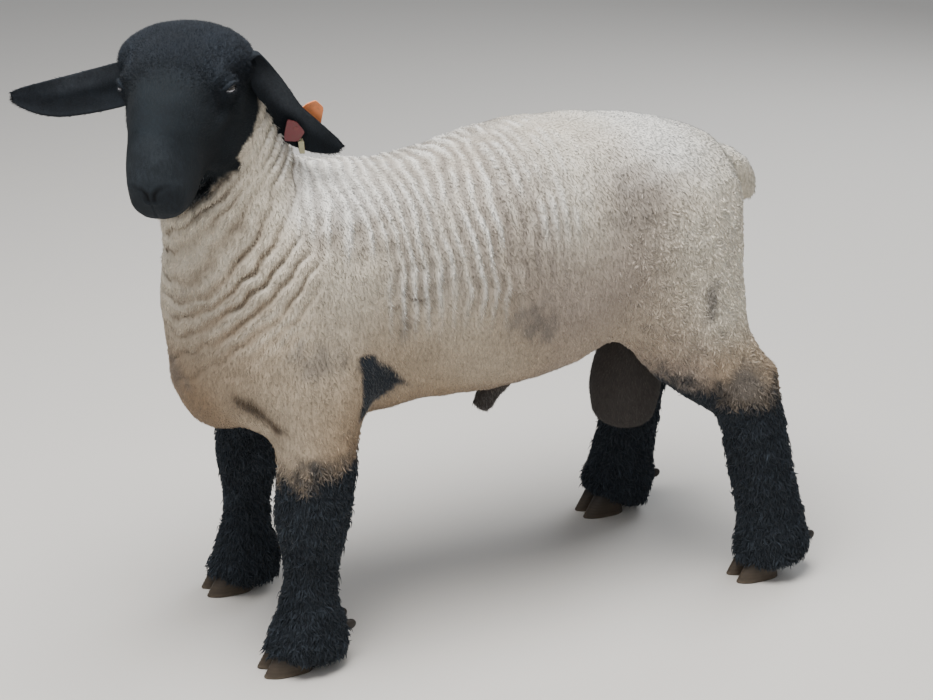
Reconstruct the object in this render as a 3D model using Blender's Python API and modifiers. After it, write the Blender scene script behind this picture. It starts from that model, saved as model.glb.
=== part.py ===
"""A shorn black-faced ram lamb of the Suffolk type, life size, standing with its head turned to its left.

Metres. The lamb faces -Y, its left side is +X and Z is up. The solids reach out to the tips of the
coat. The flesh is modelled whole from blended limbs and muscles and then parted by thin cuts.
"""

import math

import bmesh
import bpy
import numpy as np
from mathutils import Matrix, Vector

# Driving dimensions, metres and degrees.
WITHERS = 0.656  # height of the withers above the floor
LOIN = 0.678  # the back rises a little towards the loin
CHEST_FLOOR = 0.306  # height of the brisket
BELLY = 0.315  # height of the belly behind the elbow
RIB_HALF = 0.166  # half the width of the barrel
FORE_X = 0.124  # distance of a fore foot from the middle plane
HIND_X = 0.140  # the same for a hind foot
FORE_Y = -0.316  # how far forward the left fore foot stands
FORE_STAGGER = 0.008  # the right fore foot stands this much further forward
HEAD_YAW = 59.0  # how far the head turns to the lamb's left
HEAD_PITCH = 24.0  # slope of the line from ear root to nose below the level
HEAD_ROLL = -1.0
HEAD_AT = Vector((0.030, -0.414, 0.777))  # midpoint between the ear roots
HEAD_SCALE = 1.07
HEAD_SWELL = 0.011  # the head parts from the neck this far outside its own shape
EYE_RADIUS = 0.0138
EAR_ROOT = {1: Vector((0.061, 0.006, 0.005)), -1: Vector((-0.058, 0.006, 0.003))}
EAR_LENGTH = 0.160
EAR_WIDTH = 0.053
EAR_THICKNESS = 0.0044
EAR_DROOP = {1: 51.6, -1: 6.6}  # how far each ear hangs; the left one, 1, carries the tags
EAR_ARCH = {1: -0.26, -1: -0.26}  # how much the middle of each ear rises above its ends
EAR_FLARE = {1: 0.80, -1: 0.14}  # how much wider each ear is at its root
EAR_TILT = 28.0  # how far the openings of the ears look up, seen along the head
EAR_SWEEP = {1: 0.16, -1: -0.11}  # how far each ear points back, radians
CLAW_WIDTH = 0.0255
CLEFT = 0.0028  # the slit between the two claws of a foot
TAG_THICKNESS = 0.0018
TAG_PLACE = 0.56  # where the tag's pin goes through the ear, from 0 at its root to 1 at its tip
GAP = 0.0003  # clearance between two neighbouring pieces
CUT_GROWTH = GAP * 1.8  # a cube's corners move out this far to open its faces by the gap
KNEE = 0.195  # height of the cut between the two lengths of a fore leg
HOCK = 0.272  # the same for a hind leg
RIB_CUT = -0.135  # the barrel begins here behind the shoulder
FLANK_CUT = 0.150  # and ends here before the haunch

RINGS = 26  # rings along a loft
SIDES = 28  # corners of a ring
VOXEL = 0.0055  # grain of the blended flesh
FLESH_TRIANGLES = 3250  # of the flesh before it is parted

# How far back the middle of each hind leg lies; the right one is set forward under the body.
HIND_LEFT = dict(groin=0.222, stifle=0.274, hock=0.338, cannon=0.356, fetlock=0.384, foot=0.388)
HIND_RIGHT = dict(groin=0.215, stifle=0.255, hock=0.318, cannon=0.306, fetlock=0.290, foot=0.272)


# ------------------------------------------------------------------ scene and materials


def clear_scene():
    for thing in list(bpy.data.objects):
        bpy.data.objects.remove(thing, do_unlink=True)


def make_collection(name):
    made = bpy.data.collections.new(name)
    bpy.context.scene.collection.children.link(made)
    return made


def material(name, colour, roughness, metallic=0.0):
    """A plain Principled material of one colour."""
    made = bpy.data.materials.new(name)
    made.use_nodes = True
    shader = made.node_tree.nodes["Principled BSDF"]
    shader.inputs["Base Color"].default_value = (*colour, 1.0)
    shader.inputs["Roughness"].default_value = roughness
    shader.inputs["Metallic"].default_value = metallic
    made.diffuse_color = (*colour, 1.0)
    return made


def link(name, mesh, collection):
    thing = bpy.data.objects.new(name, mesh)
    collection.objects.link(thing)
    return thing


def finish_piece(piece, name, finish):
    """Names a finished solid, gives it its material and shades it smooth except at real corners."""
    piece.name = name
    piece.data.name = name
    piece.data.materials.clear()
    piece.data.materials.append(finish)
    piece.data.shade_smooth()
    piece.data.set_sharp_from_angle(angle=math.radians(50))
    return piece


def apply_modifiers(thing):
    """Replaces the object's mesh by its evaluated one and drops the modifiers."""
    bpy.context.view_layer.update()
    graph = bpy.context.evaluated_depsgraph_get()
    mesh = bpy.data.meshes.new_from_object(thing.evaluated_get(graph))
    thing.modifiers.clear()
    thing.data = mesh
    return thing


# ------------------------------------------------------------------ lofts


def smooth_rows(rows, count):
    """Reads `count` rows off the cubic curve through the given ones, evenly along its length."""
    rows = np.array(rows, float)
    steps = np.linalg.norm(np.diff(rows[:, :3], axis=0), axis=1)
    along = np.concatenate([[0.0], np.cumsum(steps)])
    slopes = np.gradient(rows, along, axis=0)
    wanted = np.linspace(0.0, along[-1], count)
    k = np.clip(np.searchsorted(along, wanted, side="right") - 1, 0, len(steps) - 1)
    h = steps[k][:, None]
    t = (wanted - along[k])[:, None] / h
    return (
        (2 * t**3 - 3 * t**2 + 1) * rows[k]
        + (t**3 - 2 * t**2 + t) * h * slopes[k]
        + (3 * t**2 - 2 * t**3) * rows[k + 1]
        + (t**3 - t**2) * h * slopes[k + 1]
    )


def with_domes(rows, first, last):
    """Rounds either end of the rows off with a dome of the given length; 0 leaves it flat."""
    rows = list(rows)
    for end, length in ((0, first), (-1, last)):
        if not length:
            continue
        inner = rows[1] if end == 0 else rows[-2]
        outward = rows[end][:3] - inner[:3]
        outward /= np.linalg.norm(outward)
        dome = []
        for turn in (0.35, 0.65, 0.88, 0.985):
            row = rows[end].copy()
            row[:3] += outward * length * turn
            row[3:] *= math.sqrt(1 - turn * turn)
            dome.append(row)
        rows = dome[::-1] + rows if end == 0 else rows + dome
    return np.array(rows)


def loft(rows, power=2.0, domes=(0.0, 0.0), count=RINGS, sides=SIDES):
    """A closed tube over rows of (x, y, z, half width, rise, fall).

    Each ring is a superellipse square to the path. The half width lies along X; rise and fall are
    the half depths towards X x tangent and away from it.
    """
    rows = with_domes(smooth_rows(rows, count), *domes)
    tangents = np.gradient(rows[:, :3], axis=0)
    tangents /= np.linalg.norm(tangents, axis=1)[:, None]
    wide = np.array((1.0, 0.0, 0.0)) - tangents * tangents[:, :1]
    wide /= np.linalg.norm(wide, axis=1)[:, None]
    deep = np.cross(wide, tangents)
    angle = np.linspace(0, 2 * math.pi, sides, endpoint=False)
    cos, sin = np.cos(angle), np.sin(angle)
    u = np.sign(cos) * np.abs(cos) ** (2 / power)
    v = np.sign(sin) * np.abs(sin) ** (2 / power)
    reach = np.where(v > 0, rows[:, 4:5], rows[:, 5:6]) * v
    points = (
        rows[:, None, :3]
        + wide[:, None] * (rows[:, 3:4] * u)[..., None]
        + deep[:, None] * reach[..., None]
    )
    return tube_mesh(points)


def tube_mesh(points):
    """A closed mesh over a stack of rings, capped with one face at either end."""
    sides = points.shape[1]
    shape = bmesh.new()
    grid = [[shape.verts.new(p) for p in ring] for ring in points]
    for lower, upper in zip(grid, grid[1:]):
        for i in range(sides):
            j = (i + 1) % sides
            shape.faces.new((lower[i], lower[j], upper[j], upper[i]))
    shape.faces.new(grid[0][::-1])
    shape.faces.new(grid[-1])
    bmesh.ops.recalc_face_normals(shape, faces=shape.faces)
    bmesh.ops.triangulate(shape, faces=shape.faces)
    mesh = bpy.data.meshes.new("loft")
    shape.to_mesh(mesh)
    shape.free()
    return mesh


def ball(centre, radii, turn=(0, 0, 0), segments=24):
    """An ellipsoid, turned by Euler angles in degrees."""
    shape = bmesh.new()
    bmesh.ops.create_uvsphere(shape, u_segments=segments, v_segments=segments // 2, radius=1)
    matrix = Matrix.Translation(centre)
    matrix @= Matrix.LocRotScale(None, euler(turn), radii)
    bmesh.ops.transform(shape, matrix=matrix, verts=shape.verts)
    mesh = bpy.data.meshes.new("ball")
    shape.to_mesh(mesh)
    shape.free()
    return mesh


def euler(degrees):
    return Matrix.Rotation(math.radians(degrees[2]), 3, "Z") @ Matrix.Rotation(
        math.radians(degrees[1]), 3, "Y"
    ) @ Matrix.Rotation(math.radians(degrees[0]), 3, "X")


def joined(meshes, collection, name, matrix=None):
    """One object holding all the given closed meshes."""
    whole = bmesh.new()
    for mesh in meshes:
        whole.from_mesh(mesh)
    if matrix is not None:
        bmesh.ops.transform(whole, matrix=matrix, verts=whole.verts)
    mesh = bpy.data.meshes.new(name)
    whole.to_mesh(mesh)
    whole.free()
    return link(name, mesh, collection)


# ------------------------------------------------------------------ flesh


def trunk_shapes():
    """Chest, barrel and rump, with the masses of shoulder, brisket and haunch."""
    rows = [
        (0, -0.385, 0.478, 0.114, 0.142, 0.136),
        (0, -0.320, 0.478, 0.138, 0.170, 0.164),
        (0, -0.240, 0.478, 0.150, WITHERS - 0.480, 0.478 - CHEST_FLOOR),
        (0, -0.140, 0.478, 0.157, WITHERS - 0.494, 0.478 - BELLY),
        (0, -0.040, 0.488, RIB_HALF, LOIN - 0.508, 0.488 - BELLY),
        (0, 0.060, 0.496, RIB_HALF + 0.002, LOIN - 0.496, 0.496 - BELLY - 0.016),
        (0, 0.160, 0.516, 0.162, LOIN - 0.516, 0.516 - BELLY - 0.062),
        (0, 0.240, 0.524, 0.150, LOIN - 0.538, 0.130),
        (0, 0.305, 0.518, 0.132, 0.122, 0.118),
    ]
    shapes = [
        loft(rows, power=2.35, domes=(0.070, 0.050), count=34),
        ball((0, -0.388, 0.402), (0.100, 0.066, 0.098)),  # brisket
        ball((0, 0.328, 0.568), (0.050, 0.050, 0.050)),  # root of the tail
    ]
    for side in (-1, 1):
        shapes += [
            ball((0.086 * side, -0.262, 0.493), (0.074, 0.125, 0.140), (12, 0, 0)),  # shoulder
            ball((0.080 * side, -0.345, 0.413), (0.068, 0.075, 0.092)),  # point of the shoulder
            ball((0.088 * side, 0.222, 0.503), (0.080, 0.118, 0.135)),  # haunch
        ]
    return shapes


def neck_shapes():
    """A thick neck, rising almost upright from the chest and bending to the left at the top."""
    rows = [
        (0.000, -0.278, 0.462, 0.120, 0.128, 0.115),
        (0.000, -0.330, 0.562, 0.116, 0.122, 0.102),
        (0.002, -0.362, 0.628, 0.098, 0.099, 0.096),
        (0.006, -0.380, 0.688, 0.084, 0.082, 0.090),
        (0.010, -0.394, 0.743, 0.072, 0.066, 0.082),
    ]
    return [loft(rows, count=18, domes=(0.0, 0.040))]


def fore_leg_shapes(side, advance, girth):
    """Upper arm, forearm, knee, cannon and pastern, in their sleeve of wool."""
    x = FORE_X * side
    y = FORE_Y - advance
    rows = [
        (0.088 * side, y + 0.034, 0.488, 0.064, 0.092, 0.092),
        (0.106 * side, y + 0.028, 0.418, 0.062, 0.086, 0.074),
        (0.118 * side, y + 0.022, 0.360, 0.058, 0.068, 0.060),
        (x, y + 0.019, 0.308, 0.053 * girth, 0.055 * girth, 0.056 * girth),
        (x, y + 0.014, 0.250, 0.050 * girth, 0.050 * girth, 0.052 * girth),
        (x, y + 0.009, 0.186, 0.048 * girth, 0.047 * girth, 0.049 * girth),
        (x, y + 0.006, 0.132, 0.039 * girth, 0.037 * girth, 0.040 * girth),
        (x, y + 0.002, 0.092, 0.043 * girth, 0.044 * girth, 0.043 * girth),
        (x, y, 0.054, 0.052 * girth, 0.057 * girth, 0.055 * girth),
        (x, y - 0.005, 0.021, 0.053 * girth, 0.061 * girth, 0.062 * girth),
    ]
    return [loft(rows, domes=(0.0, 0.016), power=2.1)]


def hind_leg_shapes(side, groin, stifle, hock, cannon, fetlock, foot):
    """Thigh, gaskin, hock and cannon; the names tell how far back the leg's middle lies at each."""
    x = HIND_X * side
    rows = [
        (0.084 * side, groin, 0.508, 0.076, 0.106, 0.122),
        (0.102 * side, (groin + stifle) / 2, 0.428, 0.072, 0.092, 0.112),
        (0.118 * side, stifle, 0.360, 0.060, 0.070, 0.084),
        (0.132 * side, hock - 0.022, 0.307, 0.048, 0.056, 0.062),
        (x, hock, 0.264, 0.046, 0.050, 0.051),
        (x, cannon, 0.196, 0.046, 0.048, 0.050),
        (x, (cannon + fetlock) / 2, 0.143, 0.046, 0.048, 0.050),
        (x, fetlock, 0.090, 0.048, 0.051, 0.053),
        (x, (fetlock * 2 + foot) / 3, 0.056, 0.052, 0.060, 0.058),
        (x, foot, 0.030, 0.053, 0.061, 0.060),
    ]
    heel = ball((0.136 * side, hock + 0.026, 0.307), (0.026, 0.026, 0.036), (-18, 0, 0))
    return [loft(rows, domes=(0.0, 0.016), power=2.1), heel]


def head_shapes():
    """The head in its own frame: nose towards -Y, the ear roots level with the origin."""
    rows = [
        (0, 0.030, -0.008, 0.062, 0.058, 0.066),
        (0, 0.010, -0.008, 0.068, 0.072, 0.078),
        (0, -0.014, -0.006, 0.070, 0.072, 0.083),
        (0, -0.040, -0.006, 0.067, 0.064, 0.084),
        (0, -0.066, -0.006, 0.0565, 0.056, 0.082),
        (0, -0.092, -0.008, 0.0495, 0.051, 0.081),
        (0, -0.118, -0.012, 0.0425, 0.047, 0.079),
        (0, -0.146, -0.017, 0.0390, 0.041, 0.072),
        (0, -0.168, -0.024, 0.0370, 0.033, 0.059),
        (0, -0.183, -0.030, 0.0330, 0.024, 0.043),
    ]
    shapes = [
        loft(rows, power=2.35, domes=(0.026, 0.015)),
        ball((0, 0.002, 0.030), (0.083, 0.054, 0.044)),  # woolly poll
    ]
    for side in (-1, 1):
        shapes += [
            ball((0.038 * side, -0.036, -0.044), (0.027, 0.052, 0.042)),  # cheek
            ball((0.0445 * side, -0.042, 0.036), (0.0205, 0.030, 0.018)),  # brow
            ball((0.016 * side, -0.182, -0.014), (0.016, 0.016, 0.014)),  # wing of the nostril
        ]
    return shapes


def head_matrix():
    turn = Matrix.Rotation(math.radians(HEAD_YAW), 4, "Z")
    nod = Matrix.Rotation(math.radians(HEAD_PITCH), 4, "X")
    tilt = Matrix.Rotation(math.radians(HEAD_ROLL), 4, "Y")
    return Matrix.Translation(HEAD_AT) @ turn @ nod @ tilt @ Matrix.Scale(HEAD_SCALE, 4)


def flesh(collection):
    """The whole body without ears, tail and hoofs, as one blended skin of few triangles."""
    shapes = trunk_shapes() + neck_shapes()
    shapes += fore_leg_shapes(1, 0.0, 1.0) + fore_leg_shapes(-1, FORE_STAGGER, 0.93)
    shapes += hind_leg_shapes(1, **HIND_LEFT) + hind_leg_shapes(-1, **HIND_RIGHT)
    body = joined(shapes, collection, "body")
    head = joined(head_shapes(), collection, "head_whole", head_matrix())
    body.data = merged_mesh([body, head])
    remesh = body.modifiers.new("Blend", "REMESH")
    remesh.mode = "VOXEL"
    remesh.voxel_size = VOXEL
    apply_modifiers(body)
    soften(body)
    return body


def merged_mesh(things):
    """One mesh of all the given objects; the others than the first are removed."""
    whole = bmesh.new()
    for thing in things:
        whole.from_mesh(thing.data)
    mesh = bpy.data.meshes.new("merged")
    whole.to_mesh(mesh)
    whole.free()
    for thing in things[1:]:
        bpy.data.objects.remove(thing)
    return mesh


def vertex_array(mesh):
    flat = np.empty(len(mesh.vertices) * 3, np.float32)
    mesh.vertices.foreach_get("co", flat)
    return flat.reshape(-1, 3).astype(float)


def weigh(thing, name, weights):
    """Stores one weight per vertex as a vertex group, in steps of a tenth."""
    group = thing.vertex_groups.new(name=name)
    steps = np.round(weights * 10).astype(int)
    for step in range(1, 11):
        chosen = np.nonzero(steps == step)[0].tolist()
        group.add(chosen, step / 10, "REPLACE")


def soften(body):
    """Blends the creases between the muscles, less on head and legs, and thins the mesh out."""
    points = vertex_array(body.data)
    distance = np.linalg.norm(points - np.array(HEAD_AT), axis=1)
    on_head = np.clip((0.235 - distance) / 0.07, 0, 1)
    on_leg = np.clip((0.32 - points[:, 2]) / 0.08, 0, 1)
    weigh(body, "soft", np.clip(1 - 0.9 * on_head - 0.7 * on_leg, 0, 1))
    smooth = body.modifiers.new("Soften", "SMOOTH")
    smooth.factor = 0.5
    smooth.iterations = 120
    smooth.vertex_group = "soft"
    thin = body.modifiers.new("Thin out", "DECIMATE")
    thin.decimate_type = "COLLAPSE"
    thin.ratio = FLESH_TRIANGLES / (2 * len(body.data.polygons))
    apply_modifiers(body)
    body.vertex_groups.clear()


# ------------------------------------------------------------------ parting


def slab(point, normal, width, depth):
    """A square block on the side of a plane that the normal points to."""
    shape = bmesh.new()
    bmesh.ops.create_cube(shape, size=1)
    normal = Vector(normal).normalized()
    turn = normal.to_track_quat("Z", "Y").to_matrix()
    middle = Vector(point) + normal * depth / 2
    matrix = Matrix.Translation(middle) @ Matrix.LocRotScale(None, turn, (width, width, depth))
    bmesh.ops.transform(shape, matrix=matrix, verts=shape.verts)
    mesh = bpy.data.meshes.new("slab")
    shape.to_mesh(mesh)
    shape.free()
    return mesh


def cutter(mesh, collection):
    made = link("cutter", mesh, collection)
    made.hide_render = True
    made.display_type = "WIRE"
    return made


def combine(thing, other, operation):
    """Applies a Boolean to the object, with the exact solver."""
    step = thing.modifiers.new("Cut", "BOOLEAN")
    step.operation = operation
    step.object = other
    step.solver = "EXACT"
    return apply_modifiers(thing)


def grown_cutter(thing, collection, by=GAP):
    """A copy of the object, a little larger all round, to cut its seat in a neighbour."""
    made = cutter(thing.data.copy(), collection)
    grow = made.modifiers.new("Grow", "DISPLACE")
    grow.strength = by
    grow.mid_level = 0.0
    return apply_modifiers(made)


def part_off(whole, name, block, parts, cutters):
    """Cuts what lies in the block off the whole as a piece of its own, with a thin gap between."""
    inner = cutter(block, cutters)
    outer = grown_cutter(inner, cutters, by=CUT_GROWTH)
    piece = link(name, whole.data.copy(), parts)
    combine(piece, inner, "INTERSECT")
    combine(whole, outer, "DIFFERENCE")
    return piece


def wedge(middle, size, height, slope):
    """A block from below the floor up to a slanting top, `height` high over its middle."""
    shape = bmesh.new()
    bmesh.ops.create_cube(shape, size=1)
    for vertex in shape.verts:
        dx, dy = vertex.co.x * size[0], vertex.co.y * size[1]
        top = height + slope[0] * dx + slope[1] * dy
        vertex.co = (middle[0] + dx, middle[1] + dy, top if vertex.co.z > 0 else -0.05)
    mesh = bpy.data.meshes.new("wedge")
    shape.to_mesh(mesh)
    shape.free()
    return mesh


def leg_blocks(side):
    """The blocks that hold a fore leg below the armpit and a hind leg below the groin."""
    fore = wedge((0.133 * side, -0.305), (0.205, 0.300), 0.341, (0.36 * side, 0.0))
    hind = wedge((0.133 * side, 0.300), (0.215, 0.360), 0.420, (0.30 * side, 0.36))
    return fore, hind


def head_block(cutters):
    """The shape of the head alone, a little swollen: it parts the head along the jaw and the poll."""
    block = joined(head_shapes(), cutters, "head_block", head_matrix())
    block.hide_render = True
    block.display_type = "WIRE"
    remesh = block.modifiers.new("Blend", "REMESH")
    remesh.mode = "VOXEL"
    remesh.voxel_size = VOXEL
    smooth = block.modifiers.new("Soften", "SMOOTH")
    smooth.factor = 0.5
    smooth.iterations = 12
    thin = block.modifiers.new("Thin out", "DECIMATE")
    thin.ratio = 0.012
    swell = block.modifiers.new("Swell", "DISPLACE")
    swell.strength = HEAD_SWELL
    swell.mid_level = 0.0
    return apply_modifiers(block).data


def part_flesh(body, parts, cutters):
    """Parts the flesh into head, neck, three lengths of trunk and two lengths of each leg."""
    pieces = {}
    pieces["head"] = part_off(body, "head", head_block(cutters), parts, cutters)
    nape = slab((0, -0.360, 0.576), (0, -0.9, 1), 0.50, 0.40)
    pieces["neck"] = part_off(body, "neck", nape, parts, cutters)
    for side, word in ((1, "left"), (-1, "right")):
        for leg, block, knee in zip(("foreleg", "hindleg"), leg_blocks(side), (KNEE, HOCK)):
            whole = part_off(body, leg, block, parts, cutters)
            below = slab((0, 0, knee), (0, 0, -1), 1.2, 0.4)
            pieces[f"{leg}_{word}_lower"] = part_off(whole, leg, below, parts, cutters)
            pieces[f"{leg}_{word}_upper"] = whole
    rear = slab((0, FLANK_CUT, 0.5), (0, 1, 0), 0.7, 0.5)
    pieces["hindquarter"] = part_off(body, "hindquarter", rear, parts, cutters)
    front = slab((0, RIB_CUT, 0.5), (0, -1, 0), 0.7, 0.5)
    pieces["forequarter"] = part_off(body, "forequarter", front, parts, cutters)
    pieces["barrel"] = body
    return pieces


# ------------------------------------------------------------------ pieces that grow from the flesh


def claw_mesh(x, y):
    """One claw of a cloven hoof, with a flat sole."""
    rows = [
        (x, y, 0.000, CLAW_WIDTH / 2, 0.038, 0.034),
        (x, y, 0.012, CLAW_WIDTH / 2, 0.031, 0.034),
        (x, y, 0.026, CLAW_WIDTH / 2 - 0.001, 0.022, 0.030),
        (x, y, 0.040, CLAW_WIDTH / 2 - 0.003, 0.012, 0.024),
    ]
    return loft(rows, count=3, power=2.3, sides=10)


def hoof_meshes(x, y):
    half = (CLAW_WIDTH + CLEFT) / 2
    return [claw_mesh(x + half * side, y) for side in (-1, 1)]


def dewclaw_meshes(x, y, z):
    return [
        ball((x + 0.017 * side, y, z), (0.0065, 0.0100, 0.0080), (25, 0, 0), segments=6)
        for side in (-1, 1)
    ]


def tail_mesh():
    rows = [
        (0, 0.336, 0.600, 0.034, 0.020, 0.026),
        (0, 0.367, 0.586, 0.033, 0.022, 0.030),
        (0, 0.388, 0.562, 0.029, 0.020, 0.036),
        (0, 0.395, 0.538, 0.025, 0.016, 0.038),
    ]
    return loft(rows, count=5, domes=(0.0, 0.012), power=2.1, sides=14)


def scrotum_mesh():
    rows = [
        (0, 0.226, 0.418, 0.026, 0.027, 0.027),
        (0, 0.222, 0.363, 0.033, 0.034, 0.034),
        (0, 0.217, 0.313, 0.047, 0.048, 0.046),
        (0, 0.214, 0.268, 0.053, 0.052, 0.052),
        (0, 0.212, 0.235, 0.047, 0.046, 0.046),
    ]
    return loft(rows, count=7, domes=(0.0, 0.028), power=2.1, sides=14)


def sheath_mesh():
    rows = [
        (0, 0.028, 0.336, 0.030, 0.030, 0.030),
        (0, 0.004, 0.302, 0.020, 0.021, 0.020),
        (0, -0.010, 0.276, 0.014, 0.015, 0.015),
    ]
    return loft(rows, count=5, domes=(0.0, 0.010), sides=12)


def ease(t):
    t = np.clip(t, 0, 1)
    return t * t * (3 - 2 * t)


def ear_rib(side, u):
    """The middle line of an ear in the head's frame: its place, run, width and opening at u = 0 to 1."""
    drop = math.radians(EAR_DROOP[side])
    run = Vector((math.cos(drop) * side, math.sin(EAR_SWEEP[side]), -math.sin(drop))).normalized()
    rise = Vector((math.sin(drop) * side, 0, math.cos(drop)))
    place = EAR_ROOT[side] + run * u * EAR_LENGTH
    place += rise * EAR_LENGTH * EAR_ARCH[side] * (u - u * u) * (0.6 + 0.8 * u)
    tilt = math.radians(EAR_TILT)
    opening = Vector((0, -math.cos(tilt), math.sin(tilt)))
    opening -= run * run.dot(opening)
    opening.normalize()
    return place, run, opening.cross(run), opening


def ear_half_width(u, flare):
    """Broad from the root to past the middle, then closing in a round point."""
    broad = 1 + flare * (1 - ease(u / 0.55))
    close = max(0.0, 1 - max(0.0, (u - 0.38) / 0.62) ** 2.0) ** 0.60
    return EAR_WIDTH / 2 * broad * close


def ear_mesh(side):
    """A cupped leaf whose edges curl towards its opening, given thickness afterwards."""
    shape = bmesh.new()
    rows = []
    for u in np.linspace(0, 0.995, 9):
        place, _, across, opening = ear_rib(side, u)
        curl = math.radians(64 - 16 * ease(u / 0.40) - 16 * ease((u - 0.4) / 0.6))
        half = max(ear_half_width(u, EAR_FLARE[side]), 0.002)
        radius = half / curl
        row = []
        for v in np.linspace(-1, 1, 7):
            swing = radius * math.sin(v * curl)
            depth = radius * (1 - math.cos(v * curl))
            row.append(shape.verts.new(place + across * swing + opening * depth))
        rows.append(row)
    for lower, upper in zip(rows, rows[1:]):
        for i in range(len(lower) - 1):
            shape.faces.new((lower[i], lower[i + 1], upper[i + 1], upper[i]))
    bmesh.ops.recalc_face_normals(shape, faces=shape.faces)
    bmesh.ops.transform(shape, matrix=head_matrix(), verts=shape.verts)
    mesh = bpy.data.meshes.new("ear")
    shape.to_mesh(mesh)
    shape.free()
    return mesh


def ear(side, name, parts):
    made = link(name, ear_mesh(side), parts)
    thicken = made.modifiers.new("Thickness", "SOLIDIFY")
    thicken.thickness = EAR_THICKNESS
    thicken.offset = 0.0
    return apply_modifiers(made)


def eye_mesh(side):
    centre = head_matrix() @ Vector((0.0535 * side, -0.046, 0.029))
    return ball(centre, (EYE_RADIUS,) * 3, segments=12)


def rounded(outline, corner):
    """The outline with each corner replaced by three points on a curve that begins `corner` before it."""
    points = [Vector(point) for point in outline]
    made = []
    for i, here in enumerate(points):
        before = (points[i - 1] - here).normalized() * corner
        after = (points[(i + 1) % len(points)] - here).normalized() * corner
        made += [here + before, here + (before + after) / 4, here + after]
    return made


def plate_mesh(matrix, outline, thickness, corner=0.003):
    """Sheet plastic of the given outline, counterclockwise, in the matrix's X and Y."""
    shape = bmesh.new()
    corners = rounded(outline, corner)
    low = [shape.verts.new((x, y, -thickness / 2)) for x, y in corners]
    high = [shape.verts.new((x, y, thickness / 2)) for x, y in corners]
    shape.faces.new(low[::-1])
    shape.faces.new(high)
    for i in range(len(low)):
        j = (i + 1) % len(low)
        shape.faces.new((low[i], low[j], high[j], high[i]))
    bmesh.ops.transform(shape, matrix=matrix, verts=shape.verts)
    mesh = bpy.data.meshes.new("plate")
    shape.to_mesh(mesh)
    shape.free()
    return mesh


def rod_mesh(matrix, radius, length):
    shape = bmesh.new()
    bmesh.ops.create_cone(
        shape, cap_ends=True, segments=12, radius1=radius, radius2=radius, depth=length
    )
    bmesh.ops.transform(shape, matrix=matrix, verts=shape.verts)
    mesh = bpy.data.meshes.new("rod")
    shape.to_mesh(mesh)
    shape.free()
    return mesh


def tag_frame(u, v, out):
    """A frame on the left ear: X along it, Y across it and Z out of its opening."""
    place, run, across, opening = ear_rib(1, u)
    upright = head_matrix().to_3x3()
    axes = [(upright @ a).normalized() for a in (run, across, opening)]
    origin = head_matrix() @ (place + across * v) + axes[2] * out
    matrix = Matrix(axes).transposed().to_4x4()
    matrix.translation = origin
    return matrix


TAG_INNER = (  # outlines round the pin, X along the ear and Y across it
    (-0.0170, 0.0030), (-0.0070, -0.0130), (0.0005, -0.0222), (0.0150, -0.0125), (0.0128, 0.0030), (-0.0050, 0.0072)
)
TAG_OUTER = (
    (0.0022, 0.0393), (-0.0036, 0.0284), (-0.0070, -0.0065), (0.0080, -0.0070),
    (0.0270, 0.0030), (0.0333, 0.0136), (0.0172, 0.0376),
)
TAG_CLIP = ((-0.0102, 0.0040), (0.0032, -0.0080), (0.0085, -0.0038), (-0.0045, 0.0084))


def ear_tags(parts, cutters, left_ear):
    """A two-part tag through the left ear and a narrow clip on the ear's lower edge."""
    pieces = {}
    pin = link("tag_pin", rod_mesh(tag_frame(TAG_PLACE, 0, 0.0038), 0.0026, 0.0200), parts)
    inner = plate_mesh(tag_frame(TAG_PLACE, 0, 0.0125), TAG_INNER, TAG_THICKNESS)
    pieces["tag_inner"] = link("tag_inner", inner, parts)
    outer = plate_mesh(tag_frame(TAG_PLACE, 0, -0.0048), TAG_OUTER, TAG_THICKNESS)
    pieces["tag_outer"] = link("tag_outer", outer, parts)
    hole = grown_cutter(pin, cutters)
    for piece in (left_ear, pieces["tag_inner"], pieces["tag_outer"]):
        combine(piece, hole, "DIFFERENCE")
    pieces["tag_pin"] = pin
    clip_at = tag_frame(TAG_PLACE + 0.15, -0.016, 0.0085)
    clip = link("tag_clip", plate_mesh(clip_at, TAG_CLIP, 0.0085, corner=0.0012), parts)
    combine(clip, grown_cutter(left_ear, cutters), "DIFFERENCE")
    pieces["tag_clip"] = clip
    return pieces


# ------------------------------------------------------------------ the whole lamb


def seat(neighbour, pieces, cutters):
    """Cuts a seat in the neighbour for each of the pieces."""
    for piece in pieces:
        combine(neighbour, grown_cutter(piece, cutters), "DIFFERENCE")


def add_growths(pieces, whole, parts, cutters):
    """Tail, scrotum and sheath, cut to the surface that they grow from."""
    skin = cutter(whole.data.copy(), cutters)
    around = grown_cutter(skin, cutters)
    for name, mesh in (
        ("tail", tail_mesh()),
        ("scrotum", scrotum_mesh()),
        ("sheath", sheath_mesh()),
    ):
        pieces[name] = combine(link(name, mesh, parts), around, "DIFFERENCE")
    for side, word in ((1, "left"), (-1, "right")):
        made = ear(side, "ear_" + word, parts)
        pieces["ear_" + word] = combine(made, around, "DIFFERENCE")


def add_eyes(pieces, parts, cutters):
    for side, word in ((1, "left"), (-1, "right")):
        pieces["eye_" + word] = link("eye_" + word, eye_mesh(side), parts)
        seat(pieces["head"], [pieces["eye_" + word]], cutters)


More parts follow.
